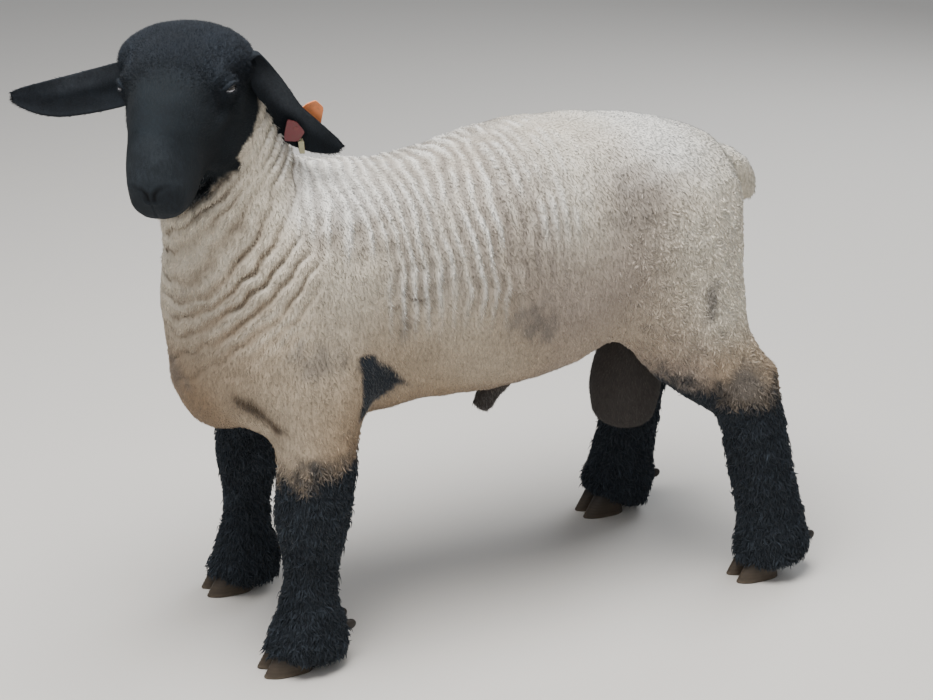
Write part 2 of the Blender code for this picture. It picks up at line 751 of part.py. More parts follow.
def add_feet(pieces, parts, cutters):
    """Two claws and two dewclaws on each foot, seated in the wool."""
    feet = {
        "foreleg_left": (FORE_X, FORE_Y, 0.034, 0.051),
        "foreleg_right": (-FORE_X, FORE_Y - FORE_STAGGER, 0.029, 0.047),
        "hindleg_left": (HIND_X, HIND_LEFT["foot"], 0.030, 0.051),
        "hindleg_right": (-HIND_X, HIND_RIGHT["foot"], 0.020, 0.066),
    }
    for leg, (x, y, ahead, behind) in feet.items():
        made = []
        for word, mesh in zip(("a", "b"), hoof_meshes(x, y - ahead)):
            made.append(link(f"claw_{leg}_{word}", mesh, parts))
        for word, mesh in zip(("a", "b"), dewclaw_meshes(x, y + behind, 0.056)):
            made.append(link(f"dewclaw_{leg}_{word}", mesh, parts))
        seat(pieces[leg + "_lower"], made, cutters)
        pieces.update({piece.name: piece for piece in made})


def centre_on_floor(pieces):
    """Moves the lamb so that the middle of its footprint's box lies over the origin."""
    points = np.concatenate([vertex_array(piece.data) for piece in pieces])
    low, high = points.min(axis=0), points.max(axis=0)
    shift = Matrix.Translation((-(low[0] + high[0]) / 2, -(low[1] + high[1]) / 2, 0))
    for piece in pieces:
        piece.data.transform(shift)


def main():
    clear_scene()
    parts = make_collection("ram_lamb")
    cutters = make_collection("cutters")
    finishes = {
        "wool": material("shorn_wool", (0.66, 0.58, 0.45), 0.85),
        "black": material("black_wool", (0.020, 0.021, 0.024), 0.80),
        "bare": material("bare_skin", (0.060, 0.050, 0.042), 0.60),
        "horn": material("hoof_horn", (0.180, 0.145, 0.115), 0.50),
        "eye": material("eyeball", (0.030, 0.020, 0.012), 0.08),
        "orange": material("orange_tag", (0.740, 0.300, 0.130), 0.45),
        "red": material("red_tag", (0.200, 0.040, 0.055), 0.45),
        "pale": material("pale_clip", (0.420, 0.380, 0.160), 0.45),
    }
    body = flesh(parts)
    pieces = {}
    add_growths(pieces, body, parts, cutters)
    pieces.update(part_flesh(body, parts, cutters))
    add_eyes(pieces, parts, cutters)
    add_feet(pieces, parts, cutters)
    pieces.update(ear_tags(parts, cutters, pieces["ear_left"]))
    looks = {
        "head": "black", "ear": "black", "scrotum": "bare", "sheath": "bare", "eye": "eye",
        "claw": "horn", "dewclaw": "horn", "tag_outer": "orange", "tag_inner": "red",
        "tag_pin": "red", "tag_clip": "pale",
    }
    for name, piece in pieces.items():
        look = looks.get(name) or looks.get(name.split("_")[0], "wool")
        if name.endswith("_lower"):
            look = "black"
        finish_piece(piece, name, finishes[look])
    centre_on_floor(list(pieces.values()))


main()
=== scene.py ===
"""A life-size shorn black-faced ram lamb: skin, eyes, hoofs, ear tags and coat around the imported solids."""

import math

import bmesh
import bpy
import numpy as np
from mathutils import Matrix, Vector
from mathutils.bvhtree import BVHTree


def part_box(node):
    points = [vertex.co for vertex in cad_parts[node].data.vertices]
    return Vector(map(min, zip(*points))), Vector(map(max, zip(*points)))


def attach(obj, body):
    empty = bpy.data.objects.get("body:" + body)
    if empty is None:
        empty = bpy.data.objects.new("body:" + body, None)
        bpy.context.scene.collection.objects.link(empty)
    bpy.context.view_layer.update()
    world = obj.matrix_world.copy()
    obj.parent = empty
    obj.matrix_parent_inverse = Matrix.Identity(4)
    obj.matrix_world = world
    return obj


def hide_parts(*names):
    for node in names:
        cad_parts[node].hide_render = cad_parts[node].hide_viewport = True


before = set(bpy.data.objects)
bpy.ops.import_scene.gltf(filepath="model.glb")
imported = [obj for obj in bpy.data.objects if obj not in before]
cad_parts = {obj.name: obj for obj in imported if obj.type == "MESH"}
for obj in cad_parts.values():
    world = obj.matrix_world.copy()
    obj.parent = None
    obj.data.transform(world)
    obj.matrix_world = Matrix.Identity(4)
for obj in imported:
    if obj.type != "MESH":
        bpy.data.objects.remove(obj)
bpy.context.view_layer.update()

# ---------------------------------------------------------------- the skin
# The lamb's own hide, one closed surface from muzzle to tail and down to the hoofs. It lies inside
# the coat by the coat's depth, and carries the wrinkles, the folds of the neck and the face.

LEGS = [f"{leg}_{side}" for leg in ("foreleg", "hindleg") for side in ("left", "right")]
TRUNK = ["neck", "forequarter", "barrel", "hindquarter", "tail", "scrotum", "sheath"]
FLESH = ["head"] + TRUNK + [f"{leg}_{part}" for leg in LEGS for part in ("upper", "lower")]
CLAWS = [f"{kind}_{leg}_{k}" for kind in ("claw", "dewclaw") for leg in LEGS for k in "ab"]
HEAD_SCALE = 1.07
HEAD_YAW, HEAD_PITCH, HEAD_ROLL = 59.0, 24.0, -1.0  # degrees: to its left, nose down, leaning
EYE_SPOT = np.array((0.0535, -0.046, 0.029))  # the left eye in the head's frame, before scaling
EYE_RADIUS = 0.0138
COARSE, SEAM = 0.0074, 0.0007  # grain of the first skin; swell that closes the cuts
SKIN_FOOT = 0.030  # inside the claws the skin ends at this height
BALL = EYE_RADIUS / HEAD_SCALE  # the eyeball in the head's own measure
LID_HALF, LID_ABOVE, LID_BELOW = 0.0104, 0.0037, 0.0033  # the opening of the lids, along the eye
LID_TOP, LID_EDGE = 0.0105, 0.027  # how far from the line of sight the lids follow the ball, and end


def turn_about(axis, degrees):
    """The 3 x 3 matrix that turns by an angle about X, Y or Z."""
    return np.array(Matrix.Rotation(math.radians(degrees), 3, axis))


HEAD_TURN = turn_about("Z", HEAD_YAW) @ turn_about("X", HEAD_PITCH) @ turn_about("Y", HEAD_ROLL)
eye_boxes = [np.array(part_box("eye_" + side)) for side in ("left", "right")]
HEAD_AT = sum(box.mean(axis=0) for box in eye_boxes) / 2
HEAD_AT = HEAD_AT - HEAD_TURN @ (EYE_SPOT * (0, 1, 1)) * HEAD_SCALE


def to_head(points):
    """Points in the head's frame: nose towards -Y, left ear towards +X, ear roots at the origin."""
    return (points - HEAD_AT) @ HEAD_TURN / HEAD_SCALE


def from_head(points):
    """Points of the head's frame back in the world."""
    return points @ HEAD_TURN.T * HEAD_SCALE + HEAD_AT


def ease(t):
    """3t^2 - 2t^3 between 0 and 1, and flat outside."""
    t = np.clip(t, 0.0, 1.0)
    return t * t * (3 - 2 * t)


def rise(value, start, width):
    """0 up to the start, 1 from start + width on, and eased between them."""
    return ease((value - start) / width)


def fall(value, end, width):
    """1 up to end - width, 0 from the end on, and eased between them."""
    return ease((end - value) / width)


def hump(gap, width):
    """exp(-(gap / width)^2): 1 where the gap is 0, and almost nothing two widths away."""
    return np.exp(-((gap / width) ** 2))


def bell(points, centre, reach):
    """exp(-d^2) of the distance d from the centre, measured in reaches along each axis."""
    return np.exp(-(((points - np.array(centre)) / np.array(reach)) ** 2).sum(axis=1))


def mottle(points, size, seed, waves=9):
    """Smooth noise from -1 to 1: the mean of sine waves about `size` long in seeded directions."""
    rng = np.random.default_rng(seed)
    ways = rng.normal(size=(waves, 3))
    ways /= np.linalg.norm(ways, axis=1)[:, None]
    ways *= 2 * math.pi / (size * rng.uniform(0.6, 1.6, size=(waves, 1)))
    total = np.sin(points @ ways.T + rng.uniform(0, 2 * math.pi, waves)).sum(axis=1)
    return total / math.sqrt(waves / 2) / 2


def one_side(points):
    """The points, with those of the right side mirrored to the left."""
    return np.abs(points) * (1, 0, 0) + points * (0, 1, 1)


def numbers_of(items, field, width, kind=np.float32):
    """One field of a mesh's vertices, edges or triangles, as rows of `width` numbers."""
    flat = np.empty(len(items) * width, kind)
    items.foreach_get(field, flat)
    return flat.reshape(-1, width)


def corners(mesh):
    """The vertices."""
    return numbers_of(mesh.vertices, "co", 3).astype(float)


def upright(mesh):
    """The vertex normals."""
    return numbers_of(mesh.vertex_normals, "vector", 3).astype(float)


def edge_pairs(mesh):
    """The two vertices of each edge."""
    return numbers_of(mesh.edges, "vertices", 2, np.int32)


def put_corners(mesh, points):
    """Move the vertices."""
    mesh.vertices.foreach_set("co", np.ascontiguousarray(points, np.float32).ravel())
    mesh.update()


def add_object(name, data):
    """A new object of the scene, at the origin."""
    thing = bpy.data.objects.new(name, data)
    bpy.context.scene.collection.objects.link(thing)
    return thing


def as_mesh(shape):
    """A mesh with what the bmesh holds; the bmesh goes."""
    mesh = bpy.data.meshes.new("part")
    shape.to_mesh(mesh)
    shape.free()
    return mesh


def swollen_copy(name):
    """A merged copy of a CAD node, pushed out along its normals by SEAM."""
    shape = bmesh.new()
    shape.from_mesh(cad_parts[name].data)
    bmesh.ops.remove_doubles(shape, verts=shape.verts, dist=1e-5)
    bmesh.ops.recalc_face_normals(shape, faces=shape.faces)
    mesh = as_mesh(shape)
    points = corners(mesh) + upright(mesh) * SEAM
    if name in CLAWS:
        points[:, 2] = np.maximum(points[:, 2], SKIN_FOOT)
    put_corners(mesh, points)
    return mesh


def joined_mesh(meshes):
    """Several meshes as one."""
    shape = bmesh.new()
    for mesh in meshes:
        shape.from_mesh(mesh)
    return as_mesh(shape)


def voxel_skin(mesh, grain):
    """One closed mesh round everything the given one encloses."""
    thing = add_object("rough_skin", mesh)
    remesh = thing.modifiers.new("Close", "REMESH")
    remesh.mode = "VOXEL"
    remesh.voxel_size = grain
    graph = bpy.context.evaluated_depsgraph_get()
    closed = bpy.data.meshes.new_from_object(thing.evaluated_get(graph))
    bpy.data.objects.remove(thing)
    return closed


def relaxed(values, pairs, rounds, back=0.0):
    """Laplacian smoothing: each round moves a value half of the way to its neighbours' mean.

    With `back` set, every round is followed by one the other way (Taubin), which keeps the size.
    """
    flat = values.reshape(len(values), -1).astype(float)
    count, (a, b) = len(flat), pairs.T
    number = np.bincount(pairs.ravel(), minlength=count)[:, None].clip(1)
    for _ in range(rounds):
        for step in [0.5, -back] if back else [0.5]:
            total = [np.bincount(a, line[b], count) + np.bincount(b, line[a], count) for line in flat.T]
            flat = flat + step * (np.stack(total, axis=1) / number - flat)
    return flat.reshape(values.shape)


def refined(mesh, near):
    """The mesh with the faces whose centre is `near` cut into four."""
    shape = bmesh.new()
    shape.from_mesh(mesh)
    shape.faces.ensure_lookup_table()
    centres = np.array([face.calc_center_median()[:] for face in shape.faces])
    chosen = np.nonzero(near(centres))[0]
    edges = {edge for index in chosen for edge in shape.faces[index].edges}
    bmesh.ops.subdivide_edges(shape, edges=list(edges), cuts=1, use_grid_fill=True)
    bmesh.ops.triangulate(shape, faces=[f for f in shape.faces if len(f.verts) > 4])
    return as_mesh(shape)


def on_folds(points):
    """True on the head and where the hide is wrinkled."""
    y, z = points[:, 1], points[:, 2]
    on_head = (to_head(points)[:, 1] < 0.04) & (z > 0.6) & (y < -0.2)
    return on_head | (y < 0.04) & (y > -0.33) & (z > 0.46)


def eye_gap(place, off=(0, 0, 0)):
    """How far each place of the head is from the nearer eye, or from a spot `off` that eye."""
    return np.linalg.norm(one_side(place) - EYE_SPOT - off, axis=1)


def near_eyes(points):
    """True round the eyes."""
    return eye_gap(to_head(points)) < 0.021


def on_features(points):
    """True round the eyes, and over the nostrils and lips."""
    return near_eyes(points) | (to_head(points)[:, 1] < -0.142)


def base_skin():
    """All the flesh as one closed mesh: coarse on the body, fine on the head, finest on the face."""
    copies = [swollen_copy(name) for name in FLESH + CLAWS + ["eye_left", "eye_right"]]
    mesh = voxel_skin(joined_mesh(copies), COARSE)
    for region, rounds in ((None, 22), (on_folds, 5), (on_features, 5), (near_eyes, 5)):
        mesh = refined(mesh, region) if region else mesh
        put_corners(mesh, relaxed(corners(mesh), edge_pairs(mesh), rounds, back=0.52))
    return mesh


def nearest_node(points, names):
    """For each point, the index of the CAD node whose surface is nearest."""
    nodes, places, faces = [], [], []
    for index, name in enumerate(names):
        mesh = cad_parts[name].data
        faces += [[v + len(places) for v in face.vertices] for face in mesh.polygons]
        nodes += [index] * len(mesh.polygons)
        places += [v.co[:] for v in mesh.vertices]
    tree = BVHTree.FromPolygons(places, faces)
    found = [tree.find_nearest(point)[2] for point in points.tolist()]
    return np.array(nodes)[found]


ZONES = {name: [name] for name in ("head", "neck", "tail", "scrotum", "sheath")}
for end in ("fore", "hind"):
    for part in ("upper", "lower"):
        ZONES[f"{end}_{part}"] = [f"{end}leg_{side}_{part}" for side in ("left", "right")]


def zone_weights(points, pairs):
    """Per vertex, from 0 to 1, how far it belongs to each zone of the body, with soft borders."""
    label = nearest_node(points, FLESH)
    weights = {}
    for zone, names in ZONES.items():
        mine = np.isin(label, [FLESH.index(name) for name in names]).astype(float)
        weights[zone] = relaxed(mine, pairs, 5)
    return weights


def poll_share(place):
    """1 on the woolly cap between the ears, fading to 0 on the face, in the head's frame."""
    return rise(place[:, 2], -0.006, 0.040) * rise(place[:, 1], -0.100, 0.070)


FLEECE_DEPTH, POLL_DEPTH = 0.0024, 0.0032  # the trunk's, and what the cap adds to the head's
COAT_DEPTH = {
    "tail": 0.0030, "scrotum": 0.0012, "sheath": 0.0016, "neck": 0.0022, "fore_upper": 0.0026,
    "fore_lower": 0.0060, "hind_upper": 0.0030, "hind_lower": 0.0058, "head": 0.0014,
}


def coat_depth(points, zone):
    """How far the skin lies under the tips of the coat: the zones' depths, mixed by weight."""
    total = sum(zone.values())
    depth = sum(COAT_DEPTH[name] * zone[name] for name in COAT_DEPTH) + FLEECE_DEPTH * (1 - total).clip(0)
    return depth + POLL_DEPTH * zone["head"] * poll_share(to_head(points))


RIDGE_SPACING, CREASE_SPACING = 0.0172, 0.0245  # of the ribs' ridges, and of the folds of the neck
CRIMP_LENGTH = 0.0083  # from one wave of the shorn wool to the next


def fold_phase(points):
    """A length that grows along the body; each ridge of the hide keeps one value of it.

    y behind the shoulder; 0.35 (z - 0.66) less at the withers, no lower than 0.12 below them.
    """
    y, z = points[:, 1], points[:, 2]
    lean = 0.35 * fall(y, -0.12, 0.10) * (z - 0.66).clip(-0.12)
    return y - lean + 0.008 * mottle(points, 0.16, 3) + 0.0034 * mottle(points, 0.05, 4)


def collar_phase(points):
    """The same for the folds of the neck, which slope forward and down: y - 0.9 (z - 0.66)."""
    y, z = points[:, 1], points[:, 2]
    return y - 0.9 * (z - 0.66) + 0.011 * mottle(points, 0.14, 9) + 0.0044 * mottle(points, 0.045, 10)


def stripes(phase, spacing, width):
    """A hump over every multiple of the spacing."""
    return hump(np.abs((phase / spacing + 0.5) % 1 - 0.5) * spacing, width)


def clear_of_elbow(y, z):
    """0 low behind the elbow, where the hide is smooth, and 1 elsewhere."""
    return 1 - fall(y, -0.095, 0.05) * (1 - rise(z, 0.545, 0.05))


def wrinkles(points):
    """Ridges of the shoulder and ribs, and creases of the neck, each from 0 to 1."""
    y, z = points[:, 1], points[:, 2]
    phase, collar = fold_phase(points), collar_phase(points)
    broken = (0.74 + 0.85 * mottle(points * (1, 1, 0.45), 0.06, 5)).clip(0.05, 1)
    ribs = rise(y, -0.245, 0.04) * (1 - rise(y, 0.07, 0.14)) * rise(z, 0.43, 0.10)
    ribs = ribs * (1 - rise(y, -0.01, 0.10) * (1 - rise(z, 0.53, 0.08)))
    ribs = ribs * clear_of_elbow(y, z)
    ridge = stripes(phase, RIDGE_SPACING, 0.0024) * ribs * broken
    front = (1 - rise(collar, -0.130, 0.05)) * (1 - rise(y, -0.215, 0.05))
    front = front * (0.40 * rise(z, 0.36, 0.06) + 0.60 * rise(z, 0.44, 0.08))
    deep = (0.66 + 0.95 * mottle(points * (1, 1, 0.6), 0.10, 6)).clip(0.12, 1)
    crease = stripes(collar + 0.003, CREASE_SPACING, 0.0034) * front * deep
    return ridge, crease


def streaks(points, thigh):
    """Crimp of matted short wool, -1 to 1: sine stripes down the flanks, more bent on the thighs."""
    bend = 0.004 + 0.009 * thigh
    neck = 1 - rise(points[:, 1], -0.28, 0.06)
    phase = fold_phase(points) * (1 - neck) + collar_phase(points) * neck
    phase = phase + bend * mottle(points, 0.028, 20) + 0.4 * bend * mottle(points, 0.012, 21)
    fine = np.sin(2 * math.pi * phase / CRIMP_LENGTH)
    return fine * (0.55 + 0.6 * mottle(points, 0.045, 22)).clip(0, 1)


FACE_FORMS = (  # spot in the head's frame, mirrored to both sides; reach; push outwards
    ((0.048, -0.040, 0.050), (0.015, 0.024, 0.008), 0.0030),  # brow
    ((0.064, -0.014, 0.034), (0.012, 0.018, 0.014), -0.0026),  # temple
    ((0.054, -0.074, 0.004), (0.010, 0.034, 0.009), 0.0030),  # crest of the cheekbone
    ((0.050, -0.070, 0.018), (0.008, 0.009, 0.006), -0.0024),  # tear pit
    ((0.045, -0.116, -0.026), (0.014, 0.028, 0.018), -0.0026),  # hollow of the cheek
    ((0.056, -0.030, -0.050), (0.020, 0.032, 0.030), 0.0020),  # jaw muscle
    ((0.000, -0.118, 0.040), (0.015, 0.042, 0.014), 0.0018),  # bridge of the nose
    ((0.025, -0.128, 0.026), (0.009, 0.032, 0.010), -0.0020),  # flat beside the bridge
    ((0.024, -0.180, -0.001), (0.007, 0.011, 0.006), 0.0022),  # wing of the nostril
    ((0.010, -0.184, 0.013), (0.009, 0.010, 0.005), 0.0016),  # above the nostril
    ((0.019, -0.186, -0.028), (0.014, 0.014, 0.010), 0.0018),  # upper lip
    ((0.000, -0.190, -0.076), (0.026, 0.026, 0.014), -0.0026),  # chin set back
    ((0.040, -0.146, -0.070), (0.014, 0.026, 0.012), -0.0018),  # narrow lower jaw
)
NOSTRIL = (  # the slit's knots, from below the tip of the nose back to its outer end
    (0.0034, -0.1935, -0.0060), (0.0044, -0.192, 0.0010), (0.0085, -0.188, 0.0055),
    (0.0160, -0.181, 0.0062), (0.0225, -0.173, 0.0045),
)


def path_gap(points, path, squeeze=(1, 1, 1)):
    """The distance from each point to a broken line, with the axes squeezed first."""
    scale = np.array(squeeze)
    flat, knots = points * scale, np.array(path) * scale
    nearest = np.full(len(points), 9.0)
    for start, end in zip(knots[:-1], knots[1:]):
        run = end - start
        t = (((flat - start) @ run) / (run @ run)).clip(0, 1)
        nearest = np.minimum(nearest, np.linalg.norm(flat - start - t[:, None] * run, axis=1))
    return nearest


def nostril_gap(place):
    """The distance to the nearer nostril's slit, which reaches far along the nose (y counts 0.35)."""
    return path_gap(one_side(place), NOSTRIL, (1, 0.35, 1))


def face_push(place):
    """How far each point of the head moves out: bells for the forms, grooves for nose and mouth."""
    half = one_side(place)
    push = sum(amount * bell(half, spot, reach) for spot, reach, amount in FACE_FORMS)
    slit = nostril_gap(place)
    push += 0.0009 * hump(slit - 0.0052, 0.0022) - 0.0056 * hump(slit, 0.0021)
    x, y, z = half.T
    lip = -0.0450 + 0.0060 * rise(y, -0.165, 0.036)
    jaw = fall(y, -0.128, 0.014)
    push += jaw * (0.0008 * hump(z - lip - 0.0050, 0.0030) - 0.0026 * hump(z - lip, 0.0016))
    groove = fall(y, -0.172, 0.010) * rise(z, -0.047, 0.004) * (1 - rise(z, -0.014, 0.008))
    return push - 0.0013 * groove * hump(x, 0.0013)


def eye_axes(side):
    """Columns: along the slit from its inner to its outer corner, up, and out of the socket."""
    out = np.array((0.90 * side, -0.34, 0.24))
    out /= np.linalg.norm(out)
    along = np.array((0.33 * side, 0.93, -0.34))
    along -= out * (along @ out)
    along /= np.linalg.norm(along)
    up = np.cross(out, along)
    return np.stack([along, up * np.sign(up[2]), out], axis=1)


def lid_edges(a):
    """Height of the upper and the lower lid's edge at a place along the slit: an almond."""
    bow = (1 - (np.clip(a / LID_HALF, -1, 1)) ** 2) ** 0.72
    return LID_ABOVE * bow + 0.05 * a, -LID_BELOW * bow + 0.05 * a


def with_lids(place):
    """The skin round each eye laid over the ball; inside the slit it dives behind the ball."""
    made = place.copy()
    for side in (1, -1):
        axes = eye_axes(side)
        centre = EYE_SPOT * (side, 1, 1)
        a, b, c = ((place - centre) @ axes).T
        rho = np.hypot(a, b)
        near = (rho < LID_EDGE) & (c > -0.006)
        over = BALL + np.where(b > 0, 0.0023, 0.0016)
        dome = np.sqrt((over**2 - np.minimum(rho, LID_TOP) ** 2).clip(0)) - 0.62 * (rho - LID_TOP).clip(0)
        blend = 1 - ease((rho - LID_TOP) / 0.0130)
        top, bottom = lid_edges(a)
        lidded = blend * dome + (1 - blend) * c
        lidded -= 0.0011 * blend * hump(b - top - 0.0050, 0.0012)
        lidded += 0.0009 * blend * hump(b - top - 0.0024, 0.0016)
        lidded -= 0.0008 * blend * hump(b - bottom + 0.0046, 0.0012)
        behind = np.sqrt(((BALL - 0.0018) ** 2 - np.minimum(rho, BALL * 0.85) ** 2).clip(0))
        inside = ease(np.minimum(top - b, b - bottom) / 0.0009) * (np.abs(a) < LID_HALF)
        depth = (1 - inside) * lidded + inside * behind
        local = np.stack([a, b, np.where(near, depth, c)], axis=1)
        made = np.where(near[:, None], local @ axes.T + centre, made)
    return made


def body_push(points, zone):
    """Ridges and creases of the hide, the fold at the root of the tail, and small unevenness."""
    ridge, crease = wrinkles(points)
    own = (1 - zone["head"] - zone["fore_lower"] - zone["hind_lower"] - zone["scrotum"]).clip(0)
    push = own * (0.0034 * ridge - 0.0064 * crease + 0.0014 * mottle(points, 0.10, 7))
    push += own * 0.0007 * mottle(points, 0.030, 8)
    push += own * 0.0012 * zone["hind_upper"] * mottle(points, 0.024, 23)
    return push - 0.0040 * bell(points, (0.0, 0.415, 0.612), (0.060, 0.010, 0.020))


rough = base_skin()
rough_points, rough_normals = corners(rough), upright(rough)
skin_pairs = edge_pairs(rough)
rough.calc_loop_triangles()
skin_tris = numbers_of(rough.loop_triangles, "vertices", 3, np.int32)
zone = zone_weights(rough_points, skin_pairs)
inset = rough_points - rough_normals * relaxed(coat_depth(rough_points, zone), skin_pairs, 4)[:, None]
pushed = body_push(rough_points, zone) + HEAD_SCALE * face_push(to_head(rough_points)) * zone["head"]
skin_points = from_head(with_lids(to_head(inset + rough_normals * pushed[:, None])))


# The ears: thin leaves of gristle with skin on both sides, cupped and curled at the edges. The left
# one hangs under the weight of its tags, and the right one stands out level.
EAR_ROOT = {1: (0.061, 0.006, 0.005), -1: (-0.058, 0.006, 0.003)}
EAR_LENGTH, EAR_WIDTH = 0.160, 0.053
EAR_DROOP, EAR_ARCH, EAR_TILT = {1: 51.6, -1: 6.6}, -0.26, 28.0
EAR_FLARE, EAR_SWEEP = {1: 0.80, -1: 0.14}, {1: 0.16, -1: -0.11}


def unit(vectors):
    """The vectors made one long."""
    return vectors / np.linalg.norm(vectors, axis=-1, keepdims=True).clip(1e-9)


def ear_surface(side, u, v, lift):
    """Points of the ear in the head's frame: u along it, v across it from -1 to 1, `lift` off its leaf.

    The middle line droops and arches; the leaf is an arc of a circle of half width / curl.
    """
    drop, tilt = math.radians(EAR_DROOP[side]), math.radians(EAR_TILT)
    run = unit(np.array((math.cos(drop) * side, math.sin(EAR_SWEEP[side]), -math.sin(drop))))
    upward = np.array((math.sin(drop) * side, 0, math.cos(drop)))
    opening = np.array((0, -math.cos(tilt), math.sin(tilt)))
    opening = unit(opening - run * (run @ opening))
    across = np.cross(opening, run)
    curl = np.radians(64 - 16 * ease(u / 0.40) - 16 * rise(u, 0.4, 0.6))
    half = EAR_WIDTH / 2 * (1 + EAR_FLARE[side] * (1 - ease(u / 0.55)))
    half = half * (1 - ((u - 0.38) / 0.62).clip(0, 1) ** 2).clip(0) ** 0.60
    half = half * (1 + 0.018 * np.sin(9 * u + 2 * v + side))
    radius = half.clip(0.0012) / curl
    swing, depth = radius * np.sin(v * curl), radius * (1 - np.cos(v * curl))
    place = np.array(EAR_ROOT[side]) + run * (u * EAR_LENGTH)[..., None]
    place = place + upward * (EAR_LENGTH * EAR_ARCH * (u - u * u) * (0.6 + 0.8 * u))[..., None]
    facing = opening * np.cos(v * curl)[..., None] - across * np.sin(v * curl)[..., None]
    return place + across * swing[..., None] + opening * depth[..., None] + facing * lift[..., None]


def full_turn(steps):
    """Angles from 0 up to 2 pi, which is left out."""
    return np.linspace(0, 2 * math.pi, steps, endpoint=False)


def closed_grid(rows, columns):
    """Triangles of a grid whose rows are rings, closed at both ends by fans to two further points."""
    i, j = np.meshgrid(np.arange(rows - 1), np.arange(columns), indexing="ij")
    a, b = i * columns + j, i * columns + (j + 1) % columns
    quads = np.stack([a, b, b + columns, a + columns], axis=-1).reshape(-1, 4)
    tris = np.concatenate([quads[:, [0, 1, 2]], quads[:, [0, 2, 3]]])
    ring = np.arange(columns)
    after = (ring + 1) % columns
    first = np.stack([after, ring, np.full(columns, rows * columns)], axis=1)
    last = np.stack([ring, after, np.full(columns, rows * columns + 1)], axis=1)
    last[:, :2] += (rows - 1) * columns
    return np.concatenate([tris, first, last])


def ear_shell(side, rows=44, breadth=20):
    """Both faces of the ear as one ring of points for each step along it, closed at root and tip."""
    u = np.linspace(-0.10, 1.0, rows)
    u = np.where(u > 0.9, 0.9 + 0.075 * np.sin((u - 0.9) * math.pi / 0.2), u)
    v = np.concatenate([np.linspace(-1, 1, breadth), np.linspace(1, -1, breadth)])
    face = np.concatenate([np.full(breadth, -1.0), np.full(breadth, 1.0)])
    uu, vv = np.meshgrid(u, v, indexing="ij")
    ff = np.broadcast_to(face, uu.shape)
    thin = 0.00115 * (1 - 0.45 * np.abs(vv) ** 4) * (1 - 0.5 * rise(uu, 0.8, 0.2))
    lift = ff * thin
    lift = np.where(ff < 0, lift - 0.0100 * (1 - rise(uu, -0.02, 0.20)) * (1 - vv**2), lift)
    lift = lift + 0.0006 * np.cos(9 * vv + 5 * uu) * (1 - rise(uu, 0.3, 0.4)) * (1 - vv**2)
    place = ear_surface(side, uu.ravel(), vv.ravel(), lift.ravel())
    ends = [place[: 2 * breadth].mean(axis=0), place[-2 * breadth :].mean(axis=0)]
    end_spots = ((uu, (0, 1)), (vv, (0, 0)), (ff, (1, 1)))
    spots = np.stack([np.append(grid.ravel(), last) for grid, last in end_spots], axis=1)
    return np.concatenate([place, ends]), closed_grid(rows, 2 * breadth), spots


def outward(points, tris):
    """The same triangles, all turned over where the whole faces inwards (negative volume)."""
    a, b, c = (points[tris[:, k]] - points.mean(axis=0) for k in range(3))
    return tris if np.einsum("ij,ij->i", a, np.cross(b, c)).sum() > 0 else tris[:, ::-1]


ears = {}
for side in (1, -1):
    ear_points, ear_tris, ear_spots = ear_shell(side)
    ears[side] = (from_head(ear_points), outward(ear_points, ear_tris), ear_spots)


# The lamb's markings, the same for skin and coat: cream fleece, black head and shanks, bare dark
# patches that also hold painted shade, and the dirt a shorn lamb picks up on its flanks. Painted
# highlights on the back, ridges and neck crests and painted shade in valleys, folds, nostrils and
# under the belly are laid in with them.
def srgb(*colour):
    """Linear light of an 8-bit screen colour."""
    c = np.array(colour) / 255
    return np.where(c < 0.04045, c / 12.92, ((c + 0.055) / 1.055) ** 2.4)


def mixed(under, over, share):
    """under + (over - under) x share, for each point; `under` may be one colour for all."""
    return under + (over - under) * share[:, None]


# WHITE and CREAM also paint highlights below, and BROWN and MAUVE paint shade
CREAM, WHITE, BEIGE = srgb(214, 206, 190), srgb(232, 230, 224), srgb(170, 149, 124)
MAUVE, BROWN, GREY = srgb(170, 158, 150), srgb(128, 106, 84), srgb(112, 108, 105)
BLACK, SOOT, POLL = srgb(20, 26, 31), srgb(66, 62, 60), srgb(32, 38, 46)
SHANK, NOSE, EAR = srgb(42, 48, 55), srgb(36, 41, 46), srgb(27, 32, 38)
SMUDGES = (  # place, reach and strength of the grey dirt
    ((0.160, 0.078, 0.447), (0.05, 0.036, 0.030), 0.75),
    ((0.166, 0.335, 0.447), (0.05, 0.020, 0.026), 0.85),
    ((0.143, 0.229, 0.593), (0.06, 0.050, 0.045), 0.45),
    ((0.156, -0.222, 0.445), (0.05, 0.034, 0.030), 0.60),
    ((0.150, -0.104, 0.470), (0.04, 0.012, 0.022), 0.50),
    ((-0.150, 0.010, 0.470), (0.05, 0.050, 0.050), 0.50),
    ((-0.160, 0.290, 0.450), (0.05, 0.040, 0.040), 0.60),
    ((0.000, -0.385, 0.400), (0.05, 0.040, 0.030), 0.55),
)
ARMPIT = (  # the knots of the fold between foreleg and brisket
    (0.110, -0.317, 0.391), (0.121, -0.305, 0.384), (0.126, -0.291, 0.374), (0.129, -0.272, 0.348),
)
JAW_LINE = (  # height in the head's frame, and how far back the black reaches there
    (-0.150, -0.300), (-0.112, -0.300), (-0.098, -0.100), (-0.083, -0.077), (-0.072, -0.073),
    (-0.059, -0.069), (-0.051, -0.052), (-0.047, -0.032), (-0.040, -0.012), (-0.022, 0.014),
    (0.000, 0.030), (0.040, 0.046), (0.080, 0.056),
)
FLECKS = (((0.143, -0.096, 0.548), (0.05, 0.012, 0.020)), ((0.151, -0.090, 0.495), (0.05, 0.026, 0.022)))
HUE_RANGE = (0.002, 0.9)  # no painted colour is darker or lighter


def upper_legs(zone):
    """How far each point belongs to a thigh or an upper arm."""
    return zone["fore_upper"] + zone["hind_upper"]


